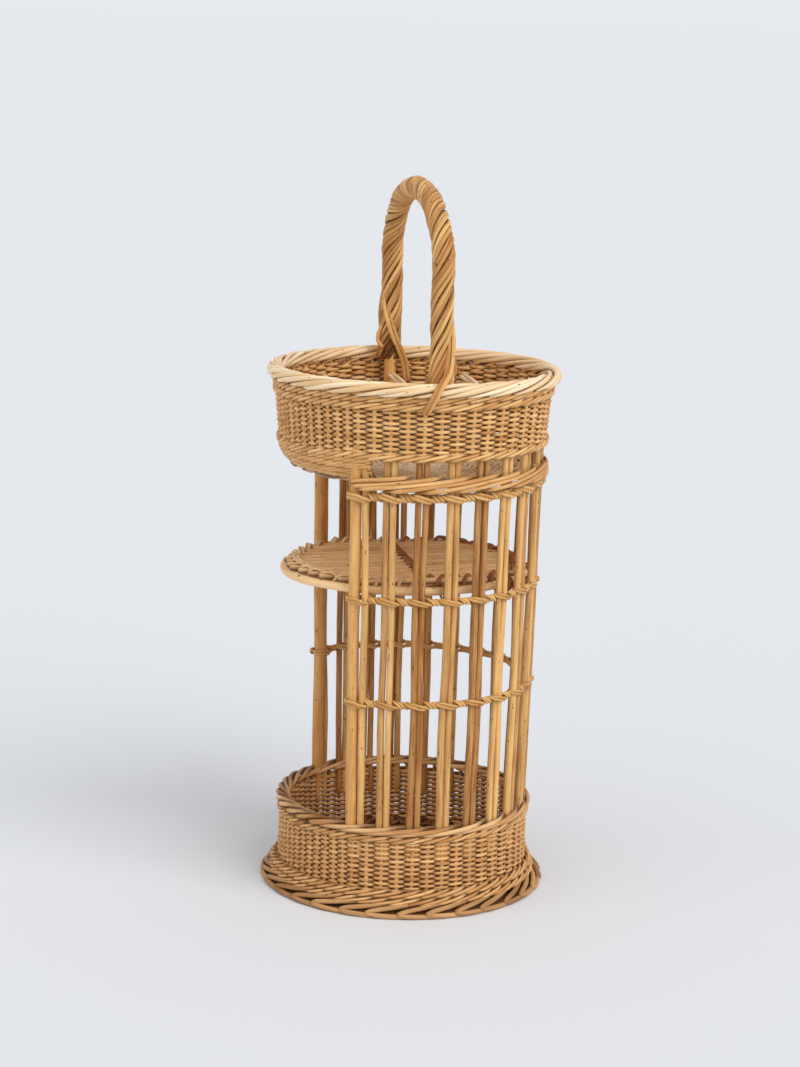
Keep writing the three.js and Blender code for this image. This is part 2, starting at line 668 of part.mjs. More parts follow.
function addUpperBasket() {
  const rodOuter = rodRadius(waleTop) + rodHalf;
  const rodInner = rodRadius(WALE_BOTTOM) - rodHalf;
  const wallGap = UPPER_WALL_BOTTOM - CLEARANCE;
  const whole = ring([
    [rodInner, WALE_BOTTOM],
    [rodOuter + WALE_THICKNESS - WALE_ROUNDING / 2, WALE_BOTTOM],
    [rodOuter + WALE_THICKNESS, WALE_BOTTOM + WALE_ROUNDING],
    [rodOuter + WALE_THICKNESS, wallGap],
    [rodInner, wallGap],
  ]);
  const beyond = rodOuter + 2 * WALE_THICKNESS;
  const rodSlot = sector(rodInner - WALE_THICKNESS, rodOuter, cageStart, cageEnd, lowerWallTop, upperWallTop);
  const openBand = sector(rodInner - WALE_THICKNESS, beyond, cageStart, cageEnd, waleTop, upperWallTop);
  add("bottom_wale", cut(whole, [rodSlot, openBand, ...postRooms]), willow);

  const floor = wovenFloor(rodInner - CLEARANCE, WALE_BOTTOM + CLEARANCE, UPPER_FLOOR_THICKNESS);
  add("upper_floor", cut(floor, postRooms), willow);

  const slotTop = rodTop + CLEARANCE;
  const inside = (z) => upperWallRadius(z) - upperThickness;
  const wall = ring([
    [upperWallRadius(UPPER_WALL_BOTTOM), UPPER_WALL_BOTTOM],
    [upperWallRadius(upperWallTop), upperWallTop],
    [inside(upperWallTop), upperWallTop],
    [inside(UPPER_WALL_BOTTOM), UPPER_WALL_BOTTOM],
    [rodRadius(UPPER_WALL_BOTTOM) - rodHalf, UPPER_WALL_BOTTOM],
    [rodRadius(slotTop) - rodHalf, slotTop],
    [rodRadius(slotTop) + rodHalf, slotTop],
    [rodRadius(UPPER_WALL_BOTTOM) + rodHalf, UPPER_WALL_BOTTOM],
  ]);
  const dividerPlaces = { front: -DIVIDER_SPACING, middle: 0, back: DIVIDER_SPACING };
  const sockets = Object.values(dividerPlaces).map(dividerSocket);
  const ribbedWall = ribbed(wall, upperWallRadius, inside);
  add("upper_wall", cut(ribbedWall, [...postRooms, handleCore(CLEARANCE), ...sockets]), willow);
  for (const [name, y] of Object.entries(dividerPlaces)) {
    add(`divider_${name}`, divider(y), strand);
  }

  const rim = roundedSection(rimInner, rimOuter, upperBorderBottom, upperBorderTop);
  add("upper_border", ring(rim), border);
}

addLowerBasket();
addCage();
addBands();
addShelf();
addUpperBasket();
addHandle();

export default holder;
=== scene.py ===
"""Wicker bottle holder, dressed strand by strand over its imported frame.

Metres, +Z up. The opening of the cage faces -Y and the handle spans the X axis.
"""

import logging
import math
import random
from collections.abc import Callable, Iterable, Sequence
from dataclasses import dataclass, field
from enum import Enum

import bmesh
import bpy
import numpy as np
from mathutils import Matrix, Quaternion, Vector, noise


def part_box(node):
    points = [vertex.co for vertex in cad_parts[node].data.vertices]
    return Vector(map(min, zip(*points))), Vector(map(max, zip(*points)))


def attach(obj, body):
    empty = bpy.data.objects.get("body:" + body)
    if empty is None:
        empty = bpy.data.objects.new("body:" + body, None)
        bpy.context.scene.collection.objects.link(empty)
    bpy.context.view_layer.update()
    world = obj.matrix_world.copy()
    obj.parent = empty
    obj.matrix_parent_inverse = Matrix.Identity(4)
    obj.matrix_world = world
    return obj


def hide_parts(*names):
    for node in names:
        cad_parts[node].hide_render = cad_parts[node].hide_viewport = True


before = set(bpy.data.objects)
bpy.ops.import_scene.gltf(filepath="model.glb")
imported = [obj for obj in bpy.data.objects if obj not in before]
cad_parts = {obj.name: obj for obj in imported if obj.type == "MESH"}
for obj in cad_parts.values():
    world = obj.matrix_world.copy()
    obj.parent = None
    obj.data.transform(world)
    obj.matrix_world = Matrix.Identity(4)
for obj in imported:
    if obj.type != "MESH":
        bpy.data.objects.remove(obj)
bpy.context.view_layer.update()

MM = 0.001
TURN = 2 * math.pi
UP = Vector((0, 0, 1))
MERGE_GAP = 1e-7
BODY = "root"
log = logging.getLogger("bottle_holder")

# What sets one strand's wander and grain apart from the next one's.
WANDER_SEED = 5
WANDER_WAVES = 28
WANDER_STEP = Vector((1.7, 3.1, 0.9))
STRANDS_A_SEED = 13
GRAIN_STEP = 0.37
GRAIN_SEED_STEP = 1.13

# Red, green and blue as a display shows them, 0 to 255.
Display = tuple[int, int, int]
# What a node's input takes.
Feed = bpy.types.NodeSocket | float | tuple[float, ...]
# The radius of a wall at a height.
Level = Callable[[float], float]
# How far points stand out, for points one a row: 0 in the recesses, 1 at the surface. The finish paints
# shade by it: the lower the value, the darker the colour.
Measure = Callable[[np.ndarray], np.ndarray]
# The least and the most that a value may be, or the values at a start and an end.
Span = tuple[float, float]


class Roundness(Enum):
    """How many sides a strand's section has, as the curve's bevel resolution."""

    SIX = 1
    EIGHT = 2
    TWELVE = 4
    SIXTEEN = 6

    @property
    def sides(self) -> int:
        """Number of sides of the section."""
        return 4 + 2 * self.value


class Slot(Enum):
    """The record's material slots."""

    ROD = "rod_cane"
    POST = "post_cane"
    WEAVE = "woven_willow"
    BORDER = "border_willow"
    TWINE = "twined_strand"
    SHELF = "shelf_cane"
    BINDING = "dark_binding"
    DIVIDER = "divider_cane"
    ROPING = "handle_roping"


def linear(display: Display) -> tuple[float, float, float, float]:
    """Turns a display colour into the linear colour that a shader takes.

    Args:
        display: Red, green and blue, 0 to 255.

    Returns:
        The linear colour with full alpha.
    """
    parts = (value / 255 for value in display)
    channels = (s / 12.92 if s <= 0.04045 else ((s + 0.055) / 1.055) ** 2.4 for s in parts)
    return (*channels, 1.0)


@dataclass(frozen=True)
class NodeSet:
    """The nodes of a material or of the room."""

    tree: bpy.types.NodeTree

    def feed(self, node: bpy.types.Node, inputs: dict[str | int, Feed]) -> None:
        """Gives a node its inputs.

        Args:
            node: Node that takes them.
            inputs: For each input, the socket that feeds it or a plain value.
        """
        for name, value in inputs.items():
            if isinstance(value, bpy.types.NodeSocket):
                self.tree.links.new(value, node.inputs[name])
            else:
                node.inputs[name].default_value = value

    def add(
        self, kind: str, output: str, inputs: dict[str | int, Feed], **options: str
    ) -> bpy.types.NodeSocket:
        """Adds a node.

        Args:
            kind: Type of the node, without the prefix that all of them have.
            output: Name of the output to use.
            inputs: For each input, the socket that feeds it or a plain value.
            options: Choices that the node itself offers.

        Returns:
            The output.
        """
        node = self.tree.nodes.new(f"ShaderNode{kind}")
        for option, choice in options.items():
            setattr(node, option, choice)
        self.feed(node, inputs)
        return node.outputs[output]

    def reading(self, attribute: str, output: str) -> bpy.types.NodeSocket:
        """Reads one of the strand attributes."""
        return self.add("Attribute", output, {}, attribute_name=attribute)

    def waves(
        self, grain: bpy.types.NodeSocket, scale: tuple[float, float, float], detail: float
    ) -> bpy.types.NodeSocket:
        """Adds noise that is stretched along the strand.

        Args:
            grain: Place across and along the strand.
            scale: Waves for each millimetre across, across and along.
            detail: Octaves of finer noise.

        Returns:
            The noise's value.
        """
        stretched = self.add("Mapping", "Vector", {"Vector": grain, "Scale": scale})
        return self.add("TexNoise", "Fac", {"Vector": stretched, "Scale": 1.0, "Detail": detail})

    def spread(
        self, value: bpy.types.NodeSocket, known: Span, wanted: Span
    ) -> bpy.types.NodeSocket:
        """Maps a value from one range to another.

        Args:
            value: Value to map.
            known: Range that it comes in.
            wanted: Range that it is spread over.

        Returns:
            The mapped value.
        """
        low, high = known
        start, end = wanted
        ranges = {"From Min": low, "From Max": high, "To Min": start, "To Max": end}
        return self.add("MapRange", "Result", {"Value": value, **ranges})

    def total(self, first: bpy.types.NodeSocket, second: bpy.types.NodeSocket) -> bpy.types.NodeSocket:
        """Adds two values."""
        return self.add("Math", "Value", {0: first, 1: second})

    def blend(self, under: Feed, over: Feed, share: bpy.types.NodeSocket) -> bpy.types.NodeSocket:
        """Mixes a colour over another one by a share."""
        return self.add("Mix", "Result", {"A": under, "B": over, "Factor": share}, data_type="RGBA")


@dataclass(frozen=True)
class Finish:
    """A willow or cane surface: streaks, blotches, bud scars, painted shade in the recesses and a slight
    gloss.
    """

    name: str
    pale: Display
    deep: Display
    scar: Display = (64, 34, 16)
    # Colour of the painted shade that darkens the recesses.
    painted_shade: Display = (78, 42, 18)
    roughness: float = 0.48
    roughness_spread: Span = (0.1, -0.08)
    variety: float = 0.35
    streaks: float = 0.5
    blotches: float = 0.2
    scar_start: float = 0.7
    scar_edge: float = 0.06
    scar_strength: float = 0.85
    # How much painted shade the deepest recesses get, and over which depths it fades out.
    recess_shade: float = 0.85
    recess_shade_range: Span = (0.1, 0.85)
    gloss: float = 0.18
    relief: float = 0.25 * MM
    relief_strength: float = 0.6
    noise_range: Span = (0.3, 0.7)
    streak_waves: tuple[float, float, float] = (0.85, 0.85, 0.03)
    blotch_waves: tuple[float, float, float] = (0.12, 0.12, 0.018)
    scar_waves: tuple[float, float, float] = (0.42, 0.42, 0.16)

    @property
    def label(self) -> str:
        """Name of the node material, kept apart from the frame's plain ones."""
        return f"{self.name}_surface"

    def material(self) -> bpy.types.Material:
        """Builds the node material once and hands out the same one after that."""
        known = bpy.data.materials.get(self.label)
        return known if known else self._build()

    def _build(self) -> bpy.types.Material:
        """Makes the nodes.

        Returns:
            The new material.
        """
        material = bpy.data.materials.new(self.label)
        material.use_nodes = True
        nodes = NodeSet(material.node_tree)
        grain = nodes.reading("grain", "Vector")
        streak = nodes.waves(grain, self.streak_waves, 3.0)
        blotch = nodes.waves(grain, self.blotch_waves, 2.0)
        scar = nodes.waves(grain, self.scar_waves, 1.0)

        tone_range = (0.5 - 0.5 * self.variety, 0.5 + 0.5 * self.variety)
        tone = nodes.spread(nodes.reading("tone", "Fac"), (0.0, 1.0), tone_range)
        streaks = nodes.spread(streak, self.noise_range, (-0.5 * self.streaks, 0.5 * self.streaks))
        blotches = nodes.spread(blotch, self.noise_range, (-self.blotches, self.blotches))
        shade = nodes.total(tone, nodes.total(streaks, blotches))
        colour = nodes.blend(linear(self.deep), linear(self.pale), shade)

        scar_range = (self.scar_start, self.scar_start + self.scar_edge)
        scarred = nodes.spread(scar, scar_range, (0.0, self.scar_strength))
        colour = nodes.blend(colour, linear(self.scar), scarred)
        # Painted shade: where the depth attribute marks a recess, the colour is mixed towards a deep brown
        # that stands in for the shadow there.
        recess_shading = nodes.spread(nodes.reading("depth", "Fac"), self.recess_shade_range, (self.recess_shade, 0.0))
        colour = nodes.blend(colour, linear(self.painted_shade), recess_shading)

        dull, shiny = self.roughness_spread
        rough_range = (self.roughness + dull, self.roughness + shiny)
        relief = {"Height": streak, "Strength": self.relief_strength, "Distance": self.relief}
        surface = {
            "Base Color": colour,
            "Roughness": nodes.spread(streak, self.noise_range, rough_range),
            "Normal": nodes.add("Bump", "Normal", relief),
            "Specular IOR Level": self.gloss,
        }
        nodes.feed(material.node_tree.nodes["Principled BSDF"], surface)
        return material


ROD_CANE = Finish("rod_cane", (236, 188, 118), (152, 94, 42), gloss=0.3, variety=0.75)
POST_CANE = Finish("post_cane", (238, 188, 118), (190, 126, 62), gloss=0.3)
WILLOW = Finish("woven_willow", (254, 210, 144), (182, 116, 54), recess_shade=0.65)
# The woven willow made a little darker for the lower basket: painted shade, as the lower part of the
# holder gets less light.
SHADED_LOWER_WILLOW = Finish("shaded_lower_willow", (242, 196, 134), (172, 108, 54), recess_shade=0.7)
# Much paler than the wall's willow: partly the rim's own paler rods, partly a painted highlight for the
# bright light on the rolled border. Its recesses get little painted shade.
LIT_BORDER_WILLOW = Finish("border_willow", (255, 238, 202), (230, 182, 124), variety=0.45, recess_shade=0.3)
RIM_WILLOW = Finish("rim_willow", (248, 206, 148), (178, 118, 64), variety=0.5)
FOOT_WILLOW = Finish("foot_willow", (208, 162, 108), (134, 84, 44), variety=0.5)
TWINE = Finish("twined_strand", (246, 204, 136), (178, 116, 54))
SHELF_CANE = Finish("shelf_cane", (255, 216, 160), (214, 158, 100), streaks=0.8, variety=0.6)
PALE_BINDING = Finish("pale_binding", (255, 230, 186), (208, 158, 98))
DARK_BINDING = Finish("dark_binding", (194, 134, 86), (116, 68, 38), roughness=0.6, gloss=0.1)
DIVIDER_CANE = Finish("divider_cane", (255, 236, 202), (224, 178, 124))
ROPING_WILLOW = Finish("handle_roping", (242, 194, 124), (162, 98, 44), variety=0.5)


def polar(radius: float, angle: float, height: float) -> Vector:
    """A point at a radius, an angle and a height round the holder's axis."""
    return Vector((radius * math.cos(angle), radius * math.sin(angle), height))


def turns_round(count: int) -> list[float]:
    """Even turns round a circle, from 0 to just before a whole turn."""
    return [TURN * step / count for step in range(count)]


def circle(radius: float, height: float, count: int) -> list[Vector]:
    """Evenly spaced points round the holder's axis."""
    return [polar(radius, turn, height) for turn in turns_round(count)]


def smooth(share: float) -> float:
    """Eases a share from 0 to 1, flat at both ends."""
    share = min(max(share, 0.0), 1.0)
    return share * share * (3 - 2 * share)


def mix(start: float, end: float, share: float) -> float:
    """The value at a share of the way from start to end."""
    return start + (end - start) * share


def shares(count: int) -> list[float]:
    """Even shares from 0 to 1, with a number of stretches between them."""
    return [step / count for step in range(count + 1)]


def heading(line: Sequence[Vector], number: int) -> Vector:
    """The way from the point before one of a line's points to the point after it."""
    return line[min(number + 1, len(line) - 1)] - line[max(number - 1, 0)]


def eased(line: list[Vector]) -> list[Vector]:
    """Rounds a line's corners.

    Args:
        line: Points of the line.

    Returns:
        Three times as many points, which start and end as the line does.
    """
    fine = [line[0]]
    for start, stop in zip(line, line[1:]):
        fine.extend(start.lerp(stop, share) for share in (1 / 3, 2 / 3, 1.0))
    inner = [(a + 2 * b + c) / 4 for a, b, c in zip(fine, fine[1:], fine[2:])]
    return [fine[0], *inner, fine[-1]]


@dataclass(frozen=True)
class WallDepth:
    """Measures how far points stand out from the middle of a woven wall, up to its faces."""

    middle: Level
    reach: float

    def __call__(self, points: np.ndarray) -> np.ndarray:
        """Measures points.

        Args:
            points: The points, one a row.

        Returns:
            For each of them 0 in the recesses to 1 at the faces.
        """
        radii = np.hypot(points[:, 0], points[:, 1])
        middles = np.array([self.middle(float(height)) for height in points[:, 2]])
        return np.clip(np.abs(radii - middles) / self.reach, 0.0, 1.0)


@dataclass(frozen=True)
class CoreDepth:
    """Measures how far points stand out from the core of a roll of strands."""

    core: Sequence[Vector]
    near: float
    far: float
    batch: int = 2000

    def __call__(self, points: np.ndarray) -> np.ndarray:
        """Measures points.

        Args:
            points: The points, one a row.

        Returns:
            For each of them 0 in the recesses to 1 at the surface.
        """
        line = np.array(self.core)
        parts = np.array_split(points, len(points) // self.batch + 1)
        gaps = [np.linalg.norm(part[:, None] - line[None], axis=2).min(axis=1) for part in parts]
        return np.clip((np.concatenate(gaps) - self.near) / (self.far - self.near), 0.0, 1.0)


@dataclass(frozen=True)
class LevelDepth:
    """Measures how far points stand above or below a level, up to a reach."""

    middle: float
    reach: float

    def __call__(self, points: np.ndarray) -> np.ndarray:
        """Gives 0 at the level to 1 at the reach for points, one a row."""
        return np.clip(np.abs(points[:, 2] - self.middle) / self.reach, 0.0, 1.0)


def buried(points: np.ndarray) -> np.ndarray:
    """The measure for strands that lie deep under others: every point gets the full painted shade."""
    return np.zeros(len(points))


@dataclass
class Strand:
    """One length of willow or cane: its middle line, its radius at each point and its colour."""

    points: list[Vector]
    radii: list[float]
    tone: float
    closed: bool


@dataclass
class Bundle:
    """Strands of one finish that make up one piece."""

    name: str
    finish: Finish
    slot: Slot
    replaces: Sequence[str] = ()
    roundness: Roundness = Roundness.SIX
    seed: int = 1
    depth: Measure | None = None
    strands: list[Strand] = field(default_factory=list)
    draws: random.Random = field(init=False)

    def __post_init__(self) -> None:
        """Sets up the piece's own random draws."""
        self.draws = random.Random(self.seed)

    def add(
        self,
        points: Iterable[Vector],
        radius: float,
        ends: Span = (0.8, 0.8),
        swell: Sequence[float] | None = None,
        wander: float = 0.0,
        closed: bool = False,
        tone: float | None = None,
    ) -> None:
        """Lays one strand.

        Args:
            points: Middle line of the strand.
            radius: Radius of its section.
            ends: Share of the radius at the first and the last point.
            swell: Share of the radius at each point.
            wander: How far the line strays from its points.
            closed: Whether the last point meets the first.
            tone: Colour from 0, deep, to 1, pale, drawn at random if left out.
        """
        offset = WANDER_STEP * (len(self.strands) + STRANDS_A_SEED * self.seed)
        line = [p.copy() for p in points]
        if wander:
            line = [p + noise.noise_vector(p * WANDER_WAVES + offset) * wander for p in line]
        widths = list(swell) if swell else [1.0] * len(line)
        if not closed:
            widths[0] *= ends[0]
            widths[-1] *= ends[1]
        drawn = self.draws.random()
        shade = drawn if tone is None else tone
        self.strands.append(Strand(line, [radius * width for width in widths], shade, closed))

    def _mesh(self) -> bpy.types.Mesh:
        """Turns the strands into one mesh by way of a bevelled curve.

        Returns:
            The new mesh.
        """
        curve = bpy.data.curves.new(self.name, "CURVE")
        curve.dimensions = "3D"
        curve.bevel_depth = 1.0
        curve.bevel_resolution = self.roundness.value
        curve.use_fill_caps = True
        for strand in self.strands:
            spline = curve.splines.new("POLY")
            spline.points.add(len(strand.points) - 1)
            spline.points.foreach_set("co", [c for p in strand.points for c in (*p, 1.0)])
            spline.points.foreach_set("radius", strand.radii)
            spline.use_cyclic_u = strand.closed
        shape = bpy.data.objects.new(self.name, curve)
        bpy.context.scene.collection.objects.link(shape)
        depsgraph = bpy.context.evaluated_depsgraph_get()
        mesh = bpy.data.meshes.new_from_object(shape.evaluated_get(depsgraph))
        bpy.data.objects.remove(shape)
        bpy.data.curves.remove(curve)
        return mesh

    def _mark(self, mesh: bpy.types.Mesh) -> None:
        """Writes tone, grain and depth to the mesh, whose end caps come first and then the rings in order.

        Args:
            mesh: Mesh that the curve gave.
        """
        sides = self.roundness.sides
        turn = np.arange(sides) * TURN / sides
        rings: list[np.ndarray] = []
        caps: list[np.ndarray] = []
        tones: list[np.ndarray] = []
        cap_tones: list[np.ndarray] = []
        for number, strand in enumerate(self.strands):
            line = np.array(strand.points)
            steps = np.linalg.norm(np.diff(line, axis=0), axis=1)
            start = GRAIN_STEP * number + GRAIN_SEED_STEP * self.seed
            along = np.concatenate(([0.0], np.cumsum(steps))) + start
            lengths = np.repeat(along[:, None], sides, axis=1)
            radii = np.array(strand.radii)[:, None]
            ring = np.stack((radii * np.cos(turn), radii * np.sin(turn), lengths), axis=2)
            rings.append(ring.reshape(-1, 3))
            tones.append(np.full(len(line) * sides, strand.tone))
            if not strand.closed:
                caps.insert(0, np.concatenate((ring[-1], ring[0])))
                cap_tones.insert(0, np.full(2 * sides, strand.tone))
        grain = np.concatenate(caps + rings) / MM
        tone = np.concatenate(cap_tones + tones)
        mesh.attributes.new("grain", "FLOAT_VECTOR", "POINT").data.foreach_set("vector", grain.ravel())
        mesh.attributes.new("tone", "FLOAT", "POINT").data.foreach_set("value", tone)
        corners = np.empty(3 * len(mesh.vertices), dtype=np.float32)
        mesh.vertices.foreach_get("co", corners)
        depth = self.depth(corners.reshape(-1, 3)) if self.depth else np.ones(len(mesh.vertices))
        mesh.attributes.new("depth", "FLOAT", "POINT").data.foreach_set("value", depth.astype(np.float32))

    def build(self, flatten: Span | None = None) -> None:
        """Makes the piece and hands it to the frame.

        Args:
            flatten: A height, and the share of their height above and below it that the strands keep.
        """
        mesh = self._mesh()
        self._mark(mesh)
        sheet = bmesh.new()
        sheet.from_mesh(mesh)
        bmesh.ops.remove_doubles(sheet, verts=sheet.verts, dist=MERGE_GAP)
        if flatten:
            height, share = flatten
            for vert in sheet.verts:
                vert.co.z = mix(height, vert.co.z, share)
        sheet.to_mesh(mesh)
        sheet.free()
        mesh.polygons.foreach_set("use_smooth", [True] * len(mesh.polygons))
        mesh.materials.clear()
        mesh.materials.append(self.finish.material())
        mesh.name = self.name
        piece = bpy.data.objects.new(self.name, mesh)
        bpy.context.scene.collection.objects.link(piece)
        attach(piece, BODY)
        if self.replaces:
            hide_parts(*self.replaces)
        log.info("%s: %d strands, %d faces", self.name, len(self.strands), len(mesh.polygons))


def node_points(node: str) -> np.ndarray:
    """The corners of a CAD node, one row each."""
    return np.array([vertex.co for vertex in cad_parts[node].data.vertices])


def bar_ends(node: str) -> tuple[Vector, Vector]:
    """Finds the ends of a straight bar.

    Args:
        node: Name of the bar's CAD node.

    Returns:
        The middles of its lower and its upper end.
    """
    corners = node_points(node)
    heights = corners[:, 2]
    low = corners[heights < heights.mean()].mean(axis=0)
    high = corners[heights > heights.mean()].mean(axis=0)
    return Vector(low), Vector(high)


@dataclass(frozen=True)
class Shell:
    """The outer face of a CAD ring, straight from its lower edge to its upper edge."""

    bottom: float
    top: float
    bottom_radius: float
    top_radius: float

    @classmethod
    def of(cls, node: str) -> "Shell":
        """Measures a ring-shaped node.

        Args:
            node: Name of the CAD node.

        Returns:
            Its outer face.
        """
        edge = 0.5 * MM
        corners = node_points(node)
        radii = np.hypot(corners[:, 0], corners[:, 1])
        heights = corners[:, 2]
        bottom, top = heights.min(), heights.max()
        low = radii[heights < bottom + edge].max()
        high = radii[heights > top - edge].max()
        return cls(float(bottom), float(top), float(low), float(high))

    def radius(self, height: float) -> float:
        """The face's radius at a height."""
        return mix(self.bottom_radius, self.top_radius, (height - self.bottom) / (self.top - self.bottom))


@dataclass(frozen=True)
class StakeRing:
    """Where the stakes stand round the holder: those of the cage, then those across the opening."""

    stake_count: int = 26
    opening_pitches: int = 8
    opening_stakes: int = 10
    split: int = 1

    @property
    def pitch(self) -> float:
        """Angle between neighbouring stakes along the cage."""
        return TURN / (self.stake_count * self.split)

    @property
    def first(self) -> float:
        """Angle of the first stake, the post on the right of the opening."""
        return -math.pi / 2 + self.opening_angle / 2

    @property
    def opening_angle(self) -> float:
        """Angle of the opening between the posts."""
        return TURN * self.opening_pitches / self.stake_count

    @property
    def last_stake(self) -> int:
        """Number of the cage's last stake, the post on the left."""
        return (self.stake_count - self.opening_pitches) * self.split

    @property
    def count(self) -> int:
        """Stakes in a whole wall."""
        return self.last_stake + 1 + self.opening_stakes

    def angle(self, place: float) -> float:
        """The angle at a place counted in stakes, which may be past a whole turn.

        Args:
            place: Number of the stake, with a fraction between stakes.

        Returns:
            The angle.
        """
        turns, rest = divmod(place, self.count)
        if rest <= self.last_stake:
            return self.first + rest * self.pitch + turns * TURN
        share = (rest - self.last_stake) / (self.opening_stakes + 1)
        return self.first + self.last_stake * self.pitch + share * self.opening_angle + turns * TURN


RING = StakeRing()
WALL_RING = StakeRing(opening_stakes=22, split=2)


@dataclass(frozen=True)
class Randing:
    """Plain weave of one thin rod after another, in front of one stake and behind the next."""

    pitch: float = 2.6 * MM
    radius: float = 1.45 * MM
    bulge: float = 0.2
    reach: float = 2.5 * MM
    fullness: float = 0.5
    stake_pairs: tuple[int, int] = (26, 44)
    lift: float = 0.15 * MM
    wander: float = 0.5 * MM
    tips: Span = (0.6, 0.6)
    steps: int = 8
    start: int = 24

    def weave(self, bundle: Bundle, low: float, high: float, middle: Level) -> None:
        """Winds the weavers up a wall.

        Args:
            bundle: Where the strands go.
            low: Height of the lowest row.
            high: Height of the highest row.
            middle: Radius of the stakes at a height.
        """
        end = WALL_RING.count * round((high - low) / self.pitch)
        start = 0
        while start < end:
            stop = min(start + 2 * bundle.draws.randint(*self.stake_pairs) + 1, end)
            line: list[Vector] = []
            swell: list[float] = []
            lift = bundle.draws.uniform(-self.lift, self.lift)
            for step in range((stop - start) * self.steps + 1):
                place = start + step / self.steps
                swing = math.cos(math.pi * place)
                height = low + self.pitch * place / WALL_RING.count + lift
                out = self.reach * math.copysign(abs(swing) ** self.fullness, swing)
                line.append(polar(middle(height) + out, WALL_RING.angle(self.start + place), height))
                swell.append(1.0 + self.bulge * abs(swing))
            bundle.add(line, self.radius, self.tips, swell, self.wander)
            start = stop


@dataclass(frozen=True)
class Waling:
    """Three rods woven together in slanting strokes, in front of two stakes and behind the third."""

    radius: float = 1.75 * MM
    reach: float = 4.4 * MM
    inner: float = 4.4 * MM
    climb: float = 3.4 * MM
    row: float = 7.4 * MM
    wander: float = 0.5 * MM
    tips: Span = (0.7, 0.7)
    strands: int = 3
    steps: int = 5
    start: int = 23

    def weave(self, bundle: Bundle, low: float, rows: int, middle: Level) -> None:
        """Winds the rods round a wall, from and to places inside it.

        Args:
            bundle: Where the strands go.
            low: Height of the first row.
            rows: Rows to weave.
            middle: Radius of the stakes at a height.
        """
        slope = self.row / WALL_RING.count
        stakes = self.strands * (rows * WALL_RING.count // self.strands)
        for rod in range(self.strands):
            first = self.start + (self.strands - 1 - rod - self.start) % self.strands
            line: list[Vector] = []
            for step in range(stakes * self.steps + 1):
                place = first + step / self.steps
                out, rise = self.pattern(place, rod)
                height = low + slope * (place - self.start) + rise
                line.append(polar(middle(height) + out, WALL_RING.angle(place), height))
            bundle.add(line, self.radius, self.tips, wander=self.wander)

    def pattern(self, place: float, rod: int) -> tuple[float, float]:
        """How a rod strays from the middle of its row.

        Args:
            place: Where it is, counted in stakes.
            rod: Number of the rod, which sets the stake that it passes behind.

        Returns:
            Its distance out of the wall and its distance up the wall.
        """
        phase = (place + rod) % self.strands
        behind = 0.5 - 0.5 * math.cos(math.pi * max(phase - 1, 0.0))
        slant = ((phase + 0.5) % self.strands) / 2
        rise = mix(-1.0, 1.0, slant) if slant <= 1 else mix(1.0, -1.0, 2 * slant - 2)
        return mix(self.reach, -self.inner, behind), self.climb * rise


@dataclass(frozen=True)
class WovenWall:
    """A basket's wall: stakes, thick rows of three rods at its two edges, and thin rods all the way up."""

    node: str
    finish: Finish
    seed: int
    middle: Level
    stake_ends: Span
    thin_ends: Span
    wale: Waling
    wale_middle: Level
    wale_rows: Sequence[tuple[float, int]]
    wale_roundness: Roundness
    stake_radius: float = 2.3 * MM
    stake_out: float = 0.8 * MM
    stake_tips: Span = (0.9, 0.9)
    stake_wander: float = 0.5 * MM
    stake_steps: int = 8
    thin_reach: float = 3.3 * MM
    wale_out: float = 2.5 * MM
    wale_reach: float = 3.7 * MM

    def build(self) -> None:
        """Builds the wall's three pieces."""
        # Painted shade: stakes and thin weavers darken near the wall's middle, where they pass behind one
        # another. The thick rows darken the same way on their inner side.
        depth = WallDepth(self.middle, self.thin_reach)
        stakes = self._piece("stakes", Roundness.EIGHT, self.seed, depth)
        self._stand(stakes)
        stakes.build()
        deep = WallDepth(lambda height: self.wale_middle(height) + self.wale_out, self.wale_reach)
        wales = self._piece("wales", self.wale_roundness, self.seed + 1, deep)
        for low, rows in self.wale_rows:
            self.wale.weave(wales, low, rows, self.wale_middle)
        wales.build()
        weavers = self._piece("weavers", Roundness.SIX, self.seed + 2, depth)
        Randing().weave(weavers, *self.thin_ends, self.middle)
        weavers.build()

    def _piece(self, part: str, roundness: Roundness, seed: int, depth: Measure) -> Bundle:
        """Starts one piece of the wall."""
        return Bundle(f"{self.node}_{part}", self.finish, Slot.WEAVE, [self.node], roundness, seed, depth)

    def _stand(self, bundle: Bundle) -> None:
        """Stands a stake at every place of the ring.

        Args:
            bundle: Where the strands go.
        """
        heights = [mix(*self.stake_ends, share) for share in shares(self.stake_steps)]
        for place in range(WALL_RING.count):
            angle = WALL_RING.angle(place)
            line = [polar(self.middle(height) + self.stake_out, angle, height) for height in heights]
            bundle.add(line, self.stake_radius, self.stake_tips, wander=self.stake_wander)


